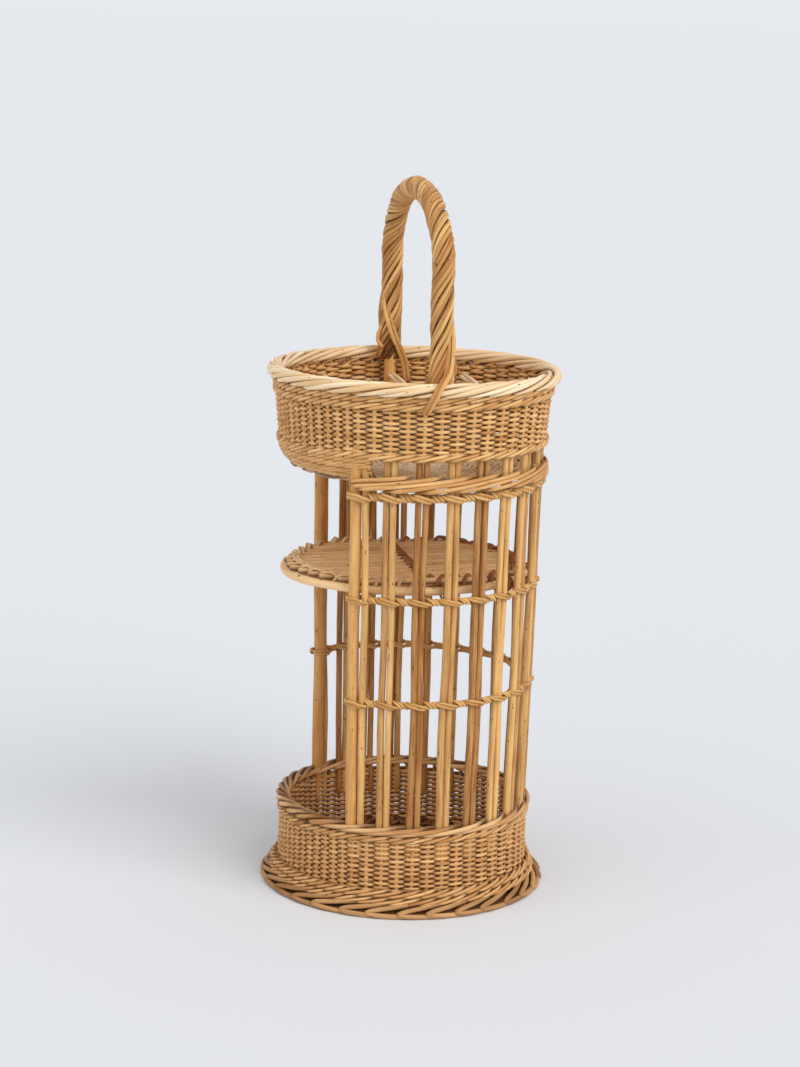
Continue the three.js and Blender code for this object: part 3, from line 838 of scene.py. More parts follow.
@dataclass(frozen=True)
class WovenDisc:
    """A round basket bottom: a cross of rods fanned out as spokes, with rings woven through them."""

    arms: int = 5
    spoke_radius: float = 1.9 * MM
    spoke_gap: float = 2.1
    spoke_tips: Span = (0.7, 0.7)
    spoke_steps: int = 24
    fan_start: float = 0.4
    weaver_radius: float = 1.45 * MM
    wander: float = 0.3 * MM
    reach: float = 2.5 * MM
    ring_pitch: float = 2.9 * MM
    cross: float = 22 * MM
    steps: int = 5

    @property
    def spokes(self) -> int:
        """Spokes all the way round."""
        return 4 * self.arms

    def lay(self, bundle: Bundle, height: float, radius: float) -> None:
        """Lays the cross and weaves the rings.

        Args:
            bundle: Where the strands go.
            height: Height of the disc's middle.
            radius: Radius of the last ring.
        """
        for quarter in (0, 1):
            for arm in range(self.arms):
                self._spoke(bundle, height, radius, quarter, arm - (self.arms - 1) / 2)
        for ring in range(int((radius - self.cross) / self.ring_pitch)):
            out = self.cross + self.ring_pitch * (ring + 0.5)
            line: list[Vector] = []
            for step in range(self.spokes * self.steps):
                place = step / self.steps
                swing = math.cos(math.pi * (place + ring))
                line.append(polar(out, place * TURN / self.spokes, height + self.reach * swing))
            bundle.add(line, self.weaver_radius, wander=self.wander, closed=True)

    def _spoke(self, bundle: Bundle, height: float, radius: float, quarter: int, arm: float) -> None:
        """Lays one rod of the cross, straight through the middle and fanned out at both ends.

        Args:
            bundle: Where the strands go.
            height: Height of the disc's middle.
            radius: Radius that the rod reaches.
            quarter: Quarter turns from the X axis to the rods of this arm of the cross.
            arm: Place among them, counted from the middle one.
        """
        turn = quarter * TURN / 4
        lift = (1 - 2 * quarter) * self.spoke_radius
        line: list[Vector] = []
        for share in shares(self.spoke_steps):
            reach = mix(-radius, radius, share)
            side = math.copysign(1.0, reach)
            fan = smooth((abs(reach) - self.fan_start * self.cross) / self.cross)
            straight = Vector((abs(reach), arm * self.spoke_gap * self.spoke_radius * side, 0))
            fanned = polar(abs(reach), arm * TURN / self.spokes * side, 0)
            flat = straight.lerp(fanned, fan) * side
            x = flat.x * math.cos(turn) - flat.y * math.sin(turn)
            y = flat.x * math.sin(turn) + flat.y * math.cos(turn)
            line.append(Vector((x, y, height + lift * (1 - fan))))
        bundle.add(line, self.spoke_radius, self.spoke_tips)


# The course of a foot strand: spaces from its fold, share of the way from wall to edge, height in mm.
FOLD_ROUTE = (
    (2.0, -0.4, 13.0), (1.7, -0.16, 12.6), (1.4, 0.06, 12.0), (1.1, 0.28, 11.2), (0.8, 0.5, 10.2),
    (0.5, 0.7, 9.2), (0.26, 0.85, 8.2), (0.08, 0.95, 7.0), (-0.04, 1.02, 5.6), (-0.05, 1.07, 4.6),
    (0.05, 1.09, 3.9), (0.25, 1.08, 3.4), (0.55, 1.04, 3.0), (0.85, 0.98, 2.6), (1.1, 0.88, 2.4),
    (1.3, 0.74, 2.35), (1.5, 0.56, 2.35),
)


@dataclass
class LowerBasket:
    """The low basket at the foot: plaited foot, bottom, wall and rolled border."""

    knuckles: int = 30
    plait_radius: float = 2.6 * MM
    plait_sizes: Span = (0.92, 1.06)
    plait_shifts: Span = (-0.08, 0.08)
    plait_tips: Span = (0.8, 0.6)
    plait_wander: float = 0.25 * MM
    foot_shade: Span = (4 * MM, 14 * MM)
    core_insets: tuple[float, ...] = (7.5 * MM, 11.5 * MM, 15.5 * MM, 19.5 * MM)
    weave_depth: float = 5.5 * MM
    base_rows: int = 2
    flare: float = 6.5 * MM
    flare_height: float = 22 * MM
    border_radius: float = 2.45 * MM
    border_squash: float = 1.2 * MM
    border_sizes: Span = (0.9, 1.08)
    border_shifts: Span = (-0.06, 0.06)
    border_tips: Span = (0.7, 0.5)
    border_shade: Span = (4.6 * MM, 7.8 * MM)
    border_wander: float = 0.5 * MM
    # Stakes from a strand's middle to its ends and to where it crosses, along the cage and at the opening.
    cage_stroke: Span = (2.3, 0.36)
    opening_stroke: Span = (1.9, 0.7)
    # Degrees round the roll at a strand's start, at both sides of its crossing and at its end.
    border_turns: tuple[float, ...] = (-62, 48, 132, 242)
    stretch_steps: int = 9
    shell: Shell = field(default_factory=lambda: Shell.of("lower_wall"))

    def middle(self, height: float) -> float:
        """Radius of the stakes at a height."""
        return self.shell.radius(height) - self.weave_depth

    def flared(self, height: float) -> float:
        """Radius of the thick rows at a height, which lean out over the foot."""
        lean = smooth(1 - (height - self.shell.bottom) / self.flare_height)
        return self.middle(height) + self.flare * lean

    def build(self) -> None:
        """Builds the basket's pieces from the floor up."""
        self._foot()
        self._bottom()
        self._wall()
        self._border()

    def _foot(self) -> None:
        """Plaits the foot: each strand sweeps out, folds at the edge and runs under the next fold."""
        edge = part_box("foot_border")[1].x
        wall = self.shell.bottom_radius
        # Painted shade: the plait darkens close to the wall's foot, where its strands lie in one another's
        # shadow.
        depth = CoreDepth(circle(wall - 2 * MM, 2 * MM, 120), *self.foot_shade)
        name = "foot_plait"
        bundle = Bundle(name, FOOT_WILLOW, Slot.BORDER, ["foot_border"], Roundness.EIGHT, 11, depth)
        gap = TURN / self.knuckles
        thick = self.plait_radius
        for fold in range(self.knuckles):
            place = fold * gap + bundle.draws.uniform(*self.plait_shifts) * gap
            size = thick * bundle.draws.uniform(*self.plait_sizes)
            line: list[Vector] = []
            for spaces, out, height in FOLD_ROUTE:
                radius = mix(wall + thick, edge - 2 * thick, out)
                line.append(polar(radius, place + spaces * gap, max(height * MM, size)))
            bundle.add(line, size, self.plait_tips, wander=self.plait_wander)
        bundle.build()
        # The core rings lie under the plait and take the full painted shade.
        core = Bundle("foot_core_rings", FOOT_WILLOW, Slot.BORDER, ["foot_border"], seed=17, depth=buried)
        for inset in self.core_insets:
            core.add(circle(edge - inset, thick, 90), thick, closed=True)
        core.build()

    def _bottom(self) -> None:
        """Weaves the bottom."""
        bundle = Bundle("lower_bottom_weave", SHADED_LOWER_WILLOW, Slot.WEAVE, ["lower_base"], seed=12)
        low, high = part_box("lower_base")
        WovenDisc().lay(bundle, (low.z + high.z) / 2, high.x - 2 * MM)
        bundle.build()

    def _wall(self) -> None:
        """Weaves the wall, whose lower rows lean out."""
        bottom, top = self.shell.bottom, self.shell.top
        wale = Waling(inner=1 * MM)
        WovenWall(
            node="lower_wall",
            finish=SHADED_LOWER_WILLOW,
            seed=13,
            middle=self.middle,
            stake_ends=(bottom - 4 * MM, top + 4 * MM),
            thin_ends=(bottom + self.base_rows * wale.row - 5 * MM, top + 3 * MM),
            wale=wale,
            wale_middle=self.flared,
            wale_rows=((bottom - 2.5 * MM, self.base_rows), (top - 0.6 * wale.row, 1)),
            wale_roundness=Roundness.SIX,
        ).build()

    def _border(self) -> None:
        """Rolls the border: each strand rises outside, crosses between two rods and drops inside."""
        low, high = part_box("lower_border")
        thick = self.border_radius
        middle = self.middle(self.shell.top)
        half_width = high.x - middle - thick
        half_height = (high.z - low.z) / 2 - thick - self.border_squash
        height = high.z - thick - half_height
        # Painted shade: the strands darken where they lie close to the roll's core, in the grooves between
        # them.
        depth = CoreDepth(circle(middle, height, 180), *self.border_shade)
        name = "lower_border_strands"
        bundle = Bundle(name, RIM_WILLOW, Slot.BORDER, ["lower_border"], Roundness.EIGHT, 16, depth)
        turns = self.border_turns
        for place in range(RING.count):
            line: list[Vector] = []
            centre = place + 0.5 + bundle.draws.uniform(*self.border_shifts)
            rise, cross = self.cage_stroke if place < RING.last_stake else self.opening_stroke
            spots = (-rise, -cross, cross, rise)
            for start, end, turn_from, turn_to in zip(spots, spots[1:], turns, turns[1:]):
                for share in shares(self.stretch_steps)[:-1]:
                    turn = math.radians(mix(turn_from, turn_to, share))
                    angle = RING.angle(centre + mix(start, end, share))
                    up = half_height * math.sin(turn)
                    line.append(polar(middle + half_width * math.cos(turn), angle, height + up))
            size = thick * bundle.draws.uniform(*self.border_sizes)
            bundle.add(line, size, self.border_tips, wander=self.border_wander)
        bundle.build()


@dataclass
class Cage:
    """The rods and posts that carry the upper basket."""

    rod_radius: float = 3.5 * MM
    post_radius: float = 6.0 * MM
    steps: int = 44
    tip: float = 16 * MM
    tip_start: float = 0.35
    slip: float = 40 * MM
    slip_width: float = 0.5
    bend: float = 3.0 * MM
    bend_waves: float = 7
    girth: Span = (0.88, 1.06)
    taper: Span = (1.03, 0.97)
    tips: Span = (0.9, 0.9)
    scars: int = 5
    scar_length: float = 4 * MM
    scar_swelling: float = 0.05
    unevenness: float = 0.03
    uneven_waves: float = 30
    first_seed: int = 101

    def build(self) -> None:
        """Builds one piece for each rod and post of the frame."""
        canes = [node for node in sorted(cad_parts) if node.startswith(("rod_", "post_"))]
        for seed, node in enumerate(canes, self.first_seed):
            thick = node in ("post_left", "post_right")
            finish, slot = (POST_CANE, Slot.POST) if thick else (ROD_CANE, Slot.ROD)
            sides = Roundness.SIXTEEN if thick else Roundness.TWELVE
            bundle = Bundle(f"{node}_cane", finish, slot, [node], sides, seed)
            self._rod(bundle, *bar_ends(node), self.post_radius if thick else self.rod_radius)
            bundle.build()

    def _rod(self, bundle: Bundle, low: Vector, high: Vector, radius: float) -> None:
        """Lays a grown rod: slightly bent, thinner towards its top, with a swelling at each bud scar.

        A post's lower end is cut slim where it goes down into the wall.

        Args:
            bundle: Where the strand goes.
            low: Middle of its lower end.
            high: Middle of its upper end.
            radius: Mean radius.
        """
        length = (high - low).length
        scars = [bundle.draws.uniform(0, length) for _ in range(self.scars)]
        offset = Vector((bundle.seed * 2.3, bundle.seed * 1.1, 0))
        girth = bundle.draws.uniform(*self.girth)
        line: list[Vector] = []
        swell: list[float] = []
        for share in shares(self.steps):
            along = share * length
            bow = math.sin(math.pi * share) * self.bend
            stray = noise.noise_vector(Vector((along * self.bend_waves, 0, 0)) + offset) * bow
            line.append(low.lerp(high, share) + Vector((stray.x, stray.y, 0)))
            knot = sum(math.exp(-(((along - scar) / self.scar_length) ** 2)) for scar in scars)
            uneven = noise.noise(Vector((along * self.uneven_waves, 5, 0)) + offset)
            point = smooth(self.tip_start + min(along, length - along) / self.tip)
            if radius == self.post_radius:
                point *= mix(self.slip_width, 1.0, smooth(3 * along / self.slip - 2))
            grown = 1 + self.scar_swelling * knot + self.unevenness * uneven
            swell.append(girth * mix(*self.taper, share) * grown * point)
        bundle.add(line, radius, self.tips, swell)


@dataclass
class TwinedCourse:
    """The course of one half of a band, and for each of its points the band's middle beside it."""

    ring: float
    height: float
    path: list[Vector] = field(default_factory=list)
    axis: list[Vector] = field(default_factory=list)

    def put(self, angle: float, out: float, up: float, axis_angle: float) -> None:
        """Adds a point that lies out from and up from the band's middle."""
        self.axis.append(polar(self.ring, axis_angle, self.height))
        self.path.append(polar(self.ring + out, angle, self.height + up))

    def beside(self, side: int, reach: float) -> list[Vector]:
        """Shifts the course sideways, so that its two strands lie next to each other.

        Args:
            side: -1 or 1.
            reach: How far to shift.

        Returns:
            The shifted line.
        """
        shifted: list[Vector] = []
        for number, point in enumerate(self.path):
            across = (point - self.axis[number]).cross(heading(self.path, number))
            shifted.append(point + across.normalized() * side * reach)
        return shifted


@dataclass
class TwinedBand:
    """A band of doubled strands that hold each pair of rods and twist together in the gaps."""

    node: str
    seed: int
    strand_radius: float = 1.45 * MM
    strand_gap: float = 0.95
    wander: float = 0.25 * MM
    rod_reach: float = 5.2 * MM
    post_reach: float = 7.7 * MM
    post_shift: float = 3.7 * MM
    hold: float = 0.27
    loosening: float = 0.6
    closing: float = 1.6
    twist_radius: float = 1.45
    slant: float = math.radians(26)
    steps: int = 28
    wrap_steps: int = 7

    def build(self) -> None:
        """Builds the band round the cage."""
        low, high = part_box(self.node)
        height = (low.z + high.z) / 2
        bundle = Bundle(f"{self.node}_strands", TWINE, Slot.TWINE, [self.node], seed=self.seed)
        for half in (1, -1):
            course = self._course(height, half)
            for side in (-1, 1):
                line = course.beside(side, self.strand_gap * self.strand_radius)
                bundle.add(line, self.strand_radius, wander=self.wander)
        bundle.build()

    @staticmethod
    def _ring_radius(height: float) -> float:
        """Finds how far the rods stand from the axis.

        Args:
            height: Height to look at.

        Returns:
            Radius of the rods' middles there.
        """
        low, high = bar_ends("rod_09a")
        point = low.lerp(high, (height - low.z) / (high.z - low.z))
        return math.hypot(point.x, point.y)

    def _course(self, height: float, half: int) -> TwinedCourse:
        """Takes one half of the band from post to post.

        Args:
            height: Height of the band.
            half: 1 for the half that starts outside the first post, -1 for the other.

        Returns:
            The half's course.
        """
        course = TwinedCourse(self._ring_radius(height), height)
        turns_at = (0.0, self.hold, 1 - self.hold, 1.0)
        turns = (0.0, -self.slant, self.slant - TURN, -TURN)
        self._wrap(course, 0, -1, (0.0, half * math.pi / 2))
        for stake in range(RING.last_stake):
            near = self.post_reach if stake == 0 else self.rod_reach
            far = self.post_reach if stake + 1 == RING.last_stake else self.rod_reach
            for share in shares(self.steps)[1:]:
                twist = float(np.interp(share, turns_at, turns))
                reach = near if share < 0.5 else far
                closeness = smooth(1 - abs(share - 0.5) / (0.5 - self.loosening * self.hold))
                closed = min(self.closing * closeness, 1.0)
                radius = half * mix(reach, self.twist_radius * self.strand_radius, closed)
                angle = RING.angle(stake + share)
                course.put(angle, radius * math.cos(twist), radius * math.sin(twist), angle)
        self._wrap(course, RING.last_stake, 1, (half * math.pi / 2, 0.0))
        return course

    def _wrap(self, course: TwinedCourse, place: int, way: int, turns: Span) -> None:
        """Takes a half round the free side of a post.

        Args:
            course: Course that goes on there.
            place: Number of the post.
            way: -1 or 1 for the side that is free.
            turns: Angles round the post at the start and the end.
        """
        post = RING.angle(place)
        middle = post + way * self.post_shift / course.ring
        for share in shares(self.wrap_steps):
            turn = mix(*turns, share)
            along = way * (self.post_shift + self.post_reach * math.cos(turn))
            course.put(post + along / course.ring, self.post_reach * math.sin(turn), 0.0, middle)


@dataclass
class Shelf:
    """The slatted shelf: slats on a bent hoop, lashed near the edge and tied across the middle."""

    slats: int = 14
    slat_pitch: float = 14.4 * MM
    slat_thickness: float = 9.4 * MM
    slat_fullness: float = 0.455
    slat_shade: float = 0.55
    slat_cut: Span = (-4 * MM, 1 * MM)
    slat_end: float = 0.78
    slat_shoulder: Span = (0.05, 0.13)
    slat_sizes: Span = (0.93, 1.0)
    slat_tips: Span = (0.84, 0.84)
    slat_unevenness: float = 0.04
    slat_waves: float = 25
    slat_spots: tuple[float, ...] = (
        0.0, 0.006, 0.05, 0.09, 0.13, 0.24, 0.37, 0.5, 0.63, 0.76, 0.87, 0.91, 0.95, 0.994, 1.0,
    )
    lash_radius: float = 1.7 * MM
    lash_inset: float = 11 * MM
    lash_lift: float = 0.8
    lash_slant: float = 2.6 * MM
    lash_fullness: float = 0.6
    lash_look: float = 0.4
    lash_turn: Span = (0.7, 0.95)
    lash_wander: float = 0.4 * MM
    lash_steps: int = 8
    side_lashes: tuple[float, ...] = (0.1, 0.35, 0.6, 0.8)
    hoop_radius: float = 5 * MM
    hoop_slimness: float = 0.86
    hoop_wander: float = 0.5 * MM
    hoop_steps: int = 96
    # Shares of the way round the hoop, from its right side by the back to its left side.
    tie_spots: tuple[float, ...] = (0.02, 0.11, 0.2, 0.3, 0.39, 0.48)
    tie_turns: int = 4
    tie_pitch: float = 0.005
    tie_radius: float = 1.25 * MM
    tie_reach: Span = (7.2 * MM, 7.6 * MM)
    tie_wander: float = 0.6 * MM
    tie_steps: int = 18
    half: Vector = field(init=False)
    middle: float = field(init=False)
    hoop_height: float = field(init=False)
    deck: float = field(init=False)

    def __post_init__(self) -> None:
        """Takes the oval and the heights from the frame."""
        low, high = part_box("shelf_deck")
        rim = Vector((self.hoop_radius, self.hoop_radius, 0))
        self.half = Vector(((high.x - low.x) / 2, (high.y - low.y) / 2, 0)) - rim
        self.middle = (low.y + high.y) / 2
        self.hoop_height = low.z + self.hoop_radius
        self.deck = high.z - self.slat_thickness / 2

    def build(self) -> None:
        """Builds the shelf's pieces."""
        self._slats()
        self._hoop()
        self._lashing()
        self._cross_tie()
        self._hoop_ties()

    def edge(self, turn: float) -> Vector:
        """A point on the hoop's middle line."""
        across, along = self.half.x * math.cos(turn), self.half.y * math.sin(turn)
        return Vector((across, self.middle + along, self.hoop_height))

    def slat_places(self) -> list[float]:
        """Where the slats lie across the shelf."""
        return [(number - (self.slats - 1) / 2) * self.slat_pitch for number in range(self.slats)]

    def half_length(self, x: float) -> float:
        """Half the oval's length at a place across the shelf."""
        return self.half.y * math.sqrt(1 - (x / self.half.x) ** 2)

    def _slats(self) -> None:
        """Lays the slats, each cut to the oval by eye, with slimmer ends."""
        # Painted shade: the slats darken down their sides, towards the deck's middle level, so the gaps
        # between them read dark.
        depth = LevelDepth(self.deck, self.slat_shade * self.slat_thickness)
        bundle = Bundle("shelf_slats", SHELF_CANE, Slot.SHELF, ["shelf_deck"], Roundness.TWELVE, 41, depth)
        radius = self.slat_fullness * self.slat_pitch
        spots = self.slat_spots
        end, full = self.slat_shoulder
        rises = [smooth((min(spot, 1 - spot) - end) / (full - end)) for spot in spots]
        slim = [mix(self.slat_end, 1.0, rise) for rise in rises]
        for x in self.slat_places():
            half = self.half_length(x)
            back = half + bundle.draws.uniform(*self.slat_cut)
            front = half + bundle.draws.uniform(*self.slat_cut)
            line = [Vector((x, self.middle + mix(-front, back, spot), self.deck)) for spot in spots]
            uneven = [1 + self.slat_unevenness * noise.noise(point * self.slat_waves) for point in line]
            swell = [width * share for width, share in zip(slim, uneven)]
            bundle.add(line, radius * bundle.draws.uniform(*self.slat_sizes), self.slat_tips, swell)
        bundle.build((self.deck, self.slat_thickness / (2 * radius)))

    def _hoop(self) -> None:
        """Bends the hoop."""
        bundle = Bundle("shelf_hoop", SHELF_CANE, Slot.SHELF, ["shelf_deck"], Roundness.TWELVE, 42)
        line = [self.edge(turn) for turn in turns_round(self.hoop_steps)]
        radius = self.hoop_slimness * self.hoop_radius
        bundle.add(line, radius, wander=self.hoop_wander, closed=True, tone=1.0)
        bundle.build()

    def _twine(self, bundle: Bundle, stations: Sequence[Vector]) -> None:
        """Twines two doubled strands over one slat and under the next, and round a slat that they follow.

        Args:
            bundle: Where the strands go.
            stations: Middles of the slats where the twining crosses them.
        """
        count = len(stations) - 1
        over = self.slat_thickness / 2 + self.lash_lift * self.lash_radius
        across, along = self.lash_turn

        def spot(place: float) -> Vector:
            """The middle of the twining at a place counted in stations."""
            number = min(max(int(place), 0), count - 1)
            return stations[number].lerp(stations[number + 1], place - number)

        for strand in (0, 1):
            for shift in (-1, 1):
                line: list[Vector] = []
                for step in range(count * self.lash_steps + 1):
                    place = step / self.lash_steps
                    ahead = (spot(place + self.lash_look) - spot(place - self.lash_look)).normalized()
                    side = Vector((-ahead.y, ahead.x, 0))
                    follows = smooth((abs(ahead.y) - across) / (along - across))
                    phase = math.pi * (place + strand)
                    swing = math.cos(phase)
                    up = over * math.copysign(abs(swing) ** self.lash_fullness, swing)
                    slant = mix(self.lash_slant, 0.5 * self.slat_pitch, follows) * math.sin(phase)
                    line.append(spot(place) + side * (slant + shift * self.lash_radius) + UP * up)
                bundle.add(line, self.lash_radius, wander=self.lash_wander)

    def _lashing(self) -> None:
        """Lashes the slats near their ends, with pale strands in front and dark ones at the back, where
        the dark finish paints the shade inside the cage.
        """
        places = self.slat_places()
        ends = [(x, self.half_length(x) - self.lash_inset) for x in places]
        far = ends[0][1]
        first = [(places[0], share * far) for share in self.side_lashes]
        last = [(places[-1], share * far) for share in reversed(self.side_lashes)]
        for name, finish, end, seed in (("front", PALE_BINDING, -1, 43), ("back", DARK_BINDING, 1, 46)):
            bundle = Bundle(f"shelf_lashing_{name}", finish, Slot.BINDING, ["shelf_binding"], seed=seed)
            route = [*first, *ends, *last]
            self._twine(bundle, [Vector((x, self.middle + end * y, self.deck)) for x, y in route])
            bundle.build()

    def _cross_tie(self) -> None:
        """Ties the slats across the middle."""
        bundle = Bundle("shelf_cross_tie", DARK_BINDING, Slot.BINDING, ["shelf_tie"], seed=44)
        self._twine(bundle, [Vector((x, self.middle, self.deck)) for x in self.slat_places()])
        bundle.build()

    def _hoop_ties(self) -> None:
        """Binds the hoop to the band under it, where the cage carries the shelf."""
        bundle = Bundle("shelf_hoop_ties", DARK_BINDING, Slot.BINDING, seed=45)
        across, upright = self.tie_reach
        for spot in self.tie_spots:
            for turn in range(self.tie_turns):
                centre = self.edge(TURN * (spot + self.tie_pitch * turn))
                out = (centre - Vector((0, self.middle, self.hoop_height))).normalized()
                line: list[Vector] = []
                for angle in turns_round(self.tie_steps):
                    line.append(centre + out * across * math.cos(angle) + UP * upright * math.sin(angle))
                bundle.add(line, self.tie_radius, wander=self.tie_wander, closed=True)
        bundle.build()


@dataclass(frozen=True)
class UnderCurve:
    """The section in which the rows across the opening turn in under the floor, a quarter of an oval."""

    edge: float
    reach: float
    top: float
    low: float
    shade: float = 4 * MM
    steps: int = 40

    def point(self, turn: float) -> Vector:
        """The middle of a row at a turn, as a radius and a height."""
        height = mix(self.top, self.low, math.sin(turn))
        return Vector((self.edge - self.reach * (1 - math.cos(turn)), 0, height))

    def depth(self, points: np.ndarray) -> np.ndarray:
        """Measures how far points stand out from the curve, which sets the painted shade in the rows'
        recesses.

        Args:
            points: The points, one a row.

        Returns:
            For each of them 0 in the recesses to 1 at the face.
        """
        radii = np.hypot(points[:, 0], points[:, 1])
        section = np.stack((radii, np.zeros(len(points)), points[:, 2]), axis=1)
        curve = [self.point(TURN / 4 * share) for share in shares(self.steps)]
        return CoreDepth(curve, 0.0, self.shade)(section)


@dataclass
class UpperBasket:
    """The basket on top: floor, thick lower weave, wall, rolled border and dividers."""

    weave_depth: float = 5.5 * MM
    floor_shade: float = 12 * MM
    wale_out: float = 3 * MM
    wale_reach: float = 4.4 * MM
    wale_sizes: Span = (1.8 * MM, 2.2 * MM)
    wale_tips: Span = (0.7, 0.7)
    wale_wander: float = 0.7 * MM
    # Stakes that a rod crosses, how far before one it starts and ends, and how far off a post it may.
    wale_stakes: int = 4
    wale_lead: Span = (0.25, 0.3)
    post_reach: Span = (0.2, 0.75)
    wale_heights: Span = (-3 * MM, 13.5 * MM)
    wale_bulge: Span = (6.9 * MM, 5.4 * MM)
    wale_inset: float = 0.6 * MM
    wale_tuck: float = 7
    wale_steps: int = 24
    under_rows: int = 7
    under_reach: float = 30 * MM
    under_wander: float = 0.4 * MM
    under_overlap: float = 0.8
    under_steps: int = 140
    border_radius: float = 2.45 * MM
    border_height: float = 15.5 * MM
    border_strands: int = 32
    border_lay: float = 190 * MM
    border_turns: Span = (math.radians(-62), math.radians(245))
    border_lift: Span = (0.9 * MM, -0.9 * MM)
    border_sizes: Span = (0.88, 1.1)
    border_shifts: Span = (-0.16, 0.16)
    border_tucks: Span = (-0.12, 0.12)
    border_tips: Span = (0.6, 0.5)
    border_core: float = 0.6
    border_shade: Span = (4.6 * MM, 8 * MM)
    border_wander: float = 0.8 * MM
    border_steps: int = 30
    divider_radius: float = 2 * MM
    divider_lay: float = 260 * MM
    divider_wander: float = 0.3 * MM
    divider_steps: int = 60
    shell: Shell = field(default_factory=lambda: Shell.of("upper_wall"))

    def middle(self, height: float) -> float:
        """Radius of the stakes at a height."""
        return self.shell.radius(max(height, self.shell.bottom)) - self.weave_depth

    def build(self) -> None:
        """Builds the basket's pieces from the floor up."""
        self._floor()
        self._lower_edge()
        self._wall()
        self._border()
        self._dividers()

    def _floor(self) -> None:
        """Weaves the floor."""
        low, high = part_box("upper_floor")
        # Painted shade: the floor darkens towards its outer edge, under the wall.
        depth = WallDepth(lambda height: high.x, self.floor_shade)
        name = "upper_floor_weave"
        bundle = Bundle(name, DIVIDER_CANE, Slot.WEAVE, ["upper_floor"], seed=51, depth=depth)
        WovenDisc().lay(bundle, (low.z + high.z) / 2, high.x - 1 * MM)
        bundle.build()

    def _lower_edge(self) -> None:
        """Weaves the thick rows round the rods, and those across the opening."""
        # Painted shade: the thick rods darken towards the wall's middle, where they go in between the
        # stakes.
        depth = WallDepth(lambda height: self.middle(height) + self.wale_out, self.wale_reach)
        name = "bottom_wale_strands"
        bundle = Bundle(name, WILLOW, Slot.WEAVE, ["bottom_wale"], Roundness.EIGHT, 52, depth)
        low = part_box("bottom_wale")[0].z
        for start in range(-2, RING.last_stake):
            self._rising_rod(bundle, start, low)
        bundle.build()
        self._under_rows(low + 3 * MM)

    def _rising_rod(self, bundle: Bundle, start: int, low: float) -> None:
        """Lays one thick rod that comes out between two stakes, rises across some and goes in again.

        Near the posts it starts or ends just past them.

        Args:
            bundle: Where the strand goes.
            start: Stake before which it comes out.
            low: Height of the weave's lower edge.
        """
        before_post, past_post = self.post_reach
        before, short = self.wale_lead
        first = max(start, -before_post) - before
        last = min(start + self.wale_stakes, RING.last_stake + past_post) - short
        line: list[Vector] = []
        swell: list[float] = []
        for share in shares(self.wale_steps):
            place = mix(first, last, share)
            height = low + mix(*self.wale_heights, (place - start) / self.wale_stakes)
            tucked = smooth(self.wale_tuck * min(share, 1 - share))
            out = mix(*self.wale_bulge, share) * tucked
            line.append(polar(self.middle(height) - self.wale_inset + out, RING.angle(place), height))
            swell.append(min(1.0, 0.5 + 4 * share))
        bundle.add(line, bundle.draws.uniform(*self.wale_sizes), self.wale_tips, swell, self.wale_wander)

    def _under_rows(self, low: float) -> None:
        """Weaves the rows across the opening, which turn in under the floor.

        Args:
            low: Height of the last row.
        """
        bottom = self.shell.bottom
        curve = UnderCurve(self.middle(bottom), self.under_reach, bottom + 1 * MM, low)
        name = "bottom_under_rows"
        bundle = Bundle(name, WILLOW, Slot.WEAVE, ["bottom_wale"], Roundness.EIGHT, 61, curve.depth)
        wale = Waling(radius=2.0 * MM, reach=2.8 * MM, inner=1.0 * MM, climb=2.6 * MM)
        first, last = WALL_RING.last_stake - self.under_overlap, WALL_RING.count + self.under_overlap
        for row in range(self.under_rows):
            turn = TURN / 4 * row / (self.under_rows - 1)
            outward = Vector((math.cos(turn), 0, -math.sin(turn)))
            upward = Vector((math.sin(turn), 0, math.cos(turn)))
            for rod in range(wale.strands):
                line: list[Vector] = []
                for share in shares(self.under_steps):
                    place = mix(first, last, share)
                    out, rise = wale.pattern(place, rod + 2 * row)
                    spot = curve.point(turn) + outward * out + upward * rise
                    line.append(polar(spot.x, WALL_RING.angle(place), spot.z))
                bundle.add(line, wale.radius, wale.tips, wander=self.under_wander)
        bundle.build()

    def _wall(self) -> None:
        """Weaves the wall."""
        bottom, top = self.shell.bottom, self.shell.top
        wale = Waling(inner=0.5 * MM)
        WovenWall(
            node="upper_wall",
            finish=WILLOW,
            seed=53,
            middle=self.middle,
            stake_ends=(bottom + 1 * MM, top + 6 * MM),
            thin_ends=(bottom + wale.row - 3 * MM, top + 4 * MM),
            wale=wale,
            wale_middle=self.middle,
            wale_rows=((bottom + 0.5 * MM, 1), (top - 1.2 * wale.row, 3)),
            wale_roundness=Roundness.EIGHT,
        ).build()

    def _border(self) -> None:
        """Rolls the border: each strand climbs the outside, crosses the top and drops down the inside."""
        corners = node_points("upper_border")
        radii = np.hypot(corners[:, 0], corners[:, 1])
        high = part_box("upper_border")[1]
        thick = self.border_radius
        middle = float(radii.max() + radii.min()) / 2
        half_width = float(radii.max() - radii.min()) / 2 - thick
        half_height = self.border_height / 2 - thick
        height = high.z - self.border_height / 2
        core = circle(middle, height, 180)
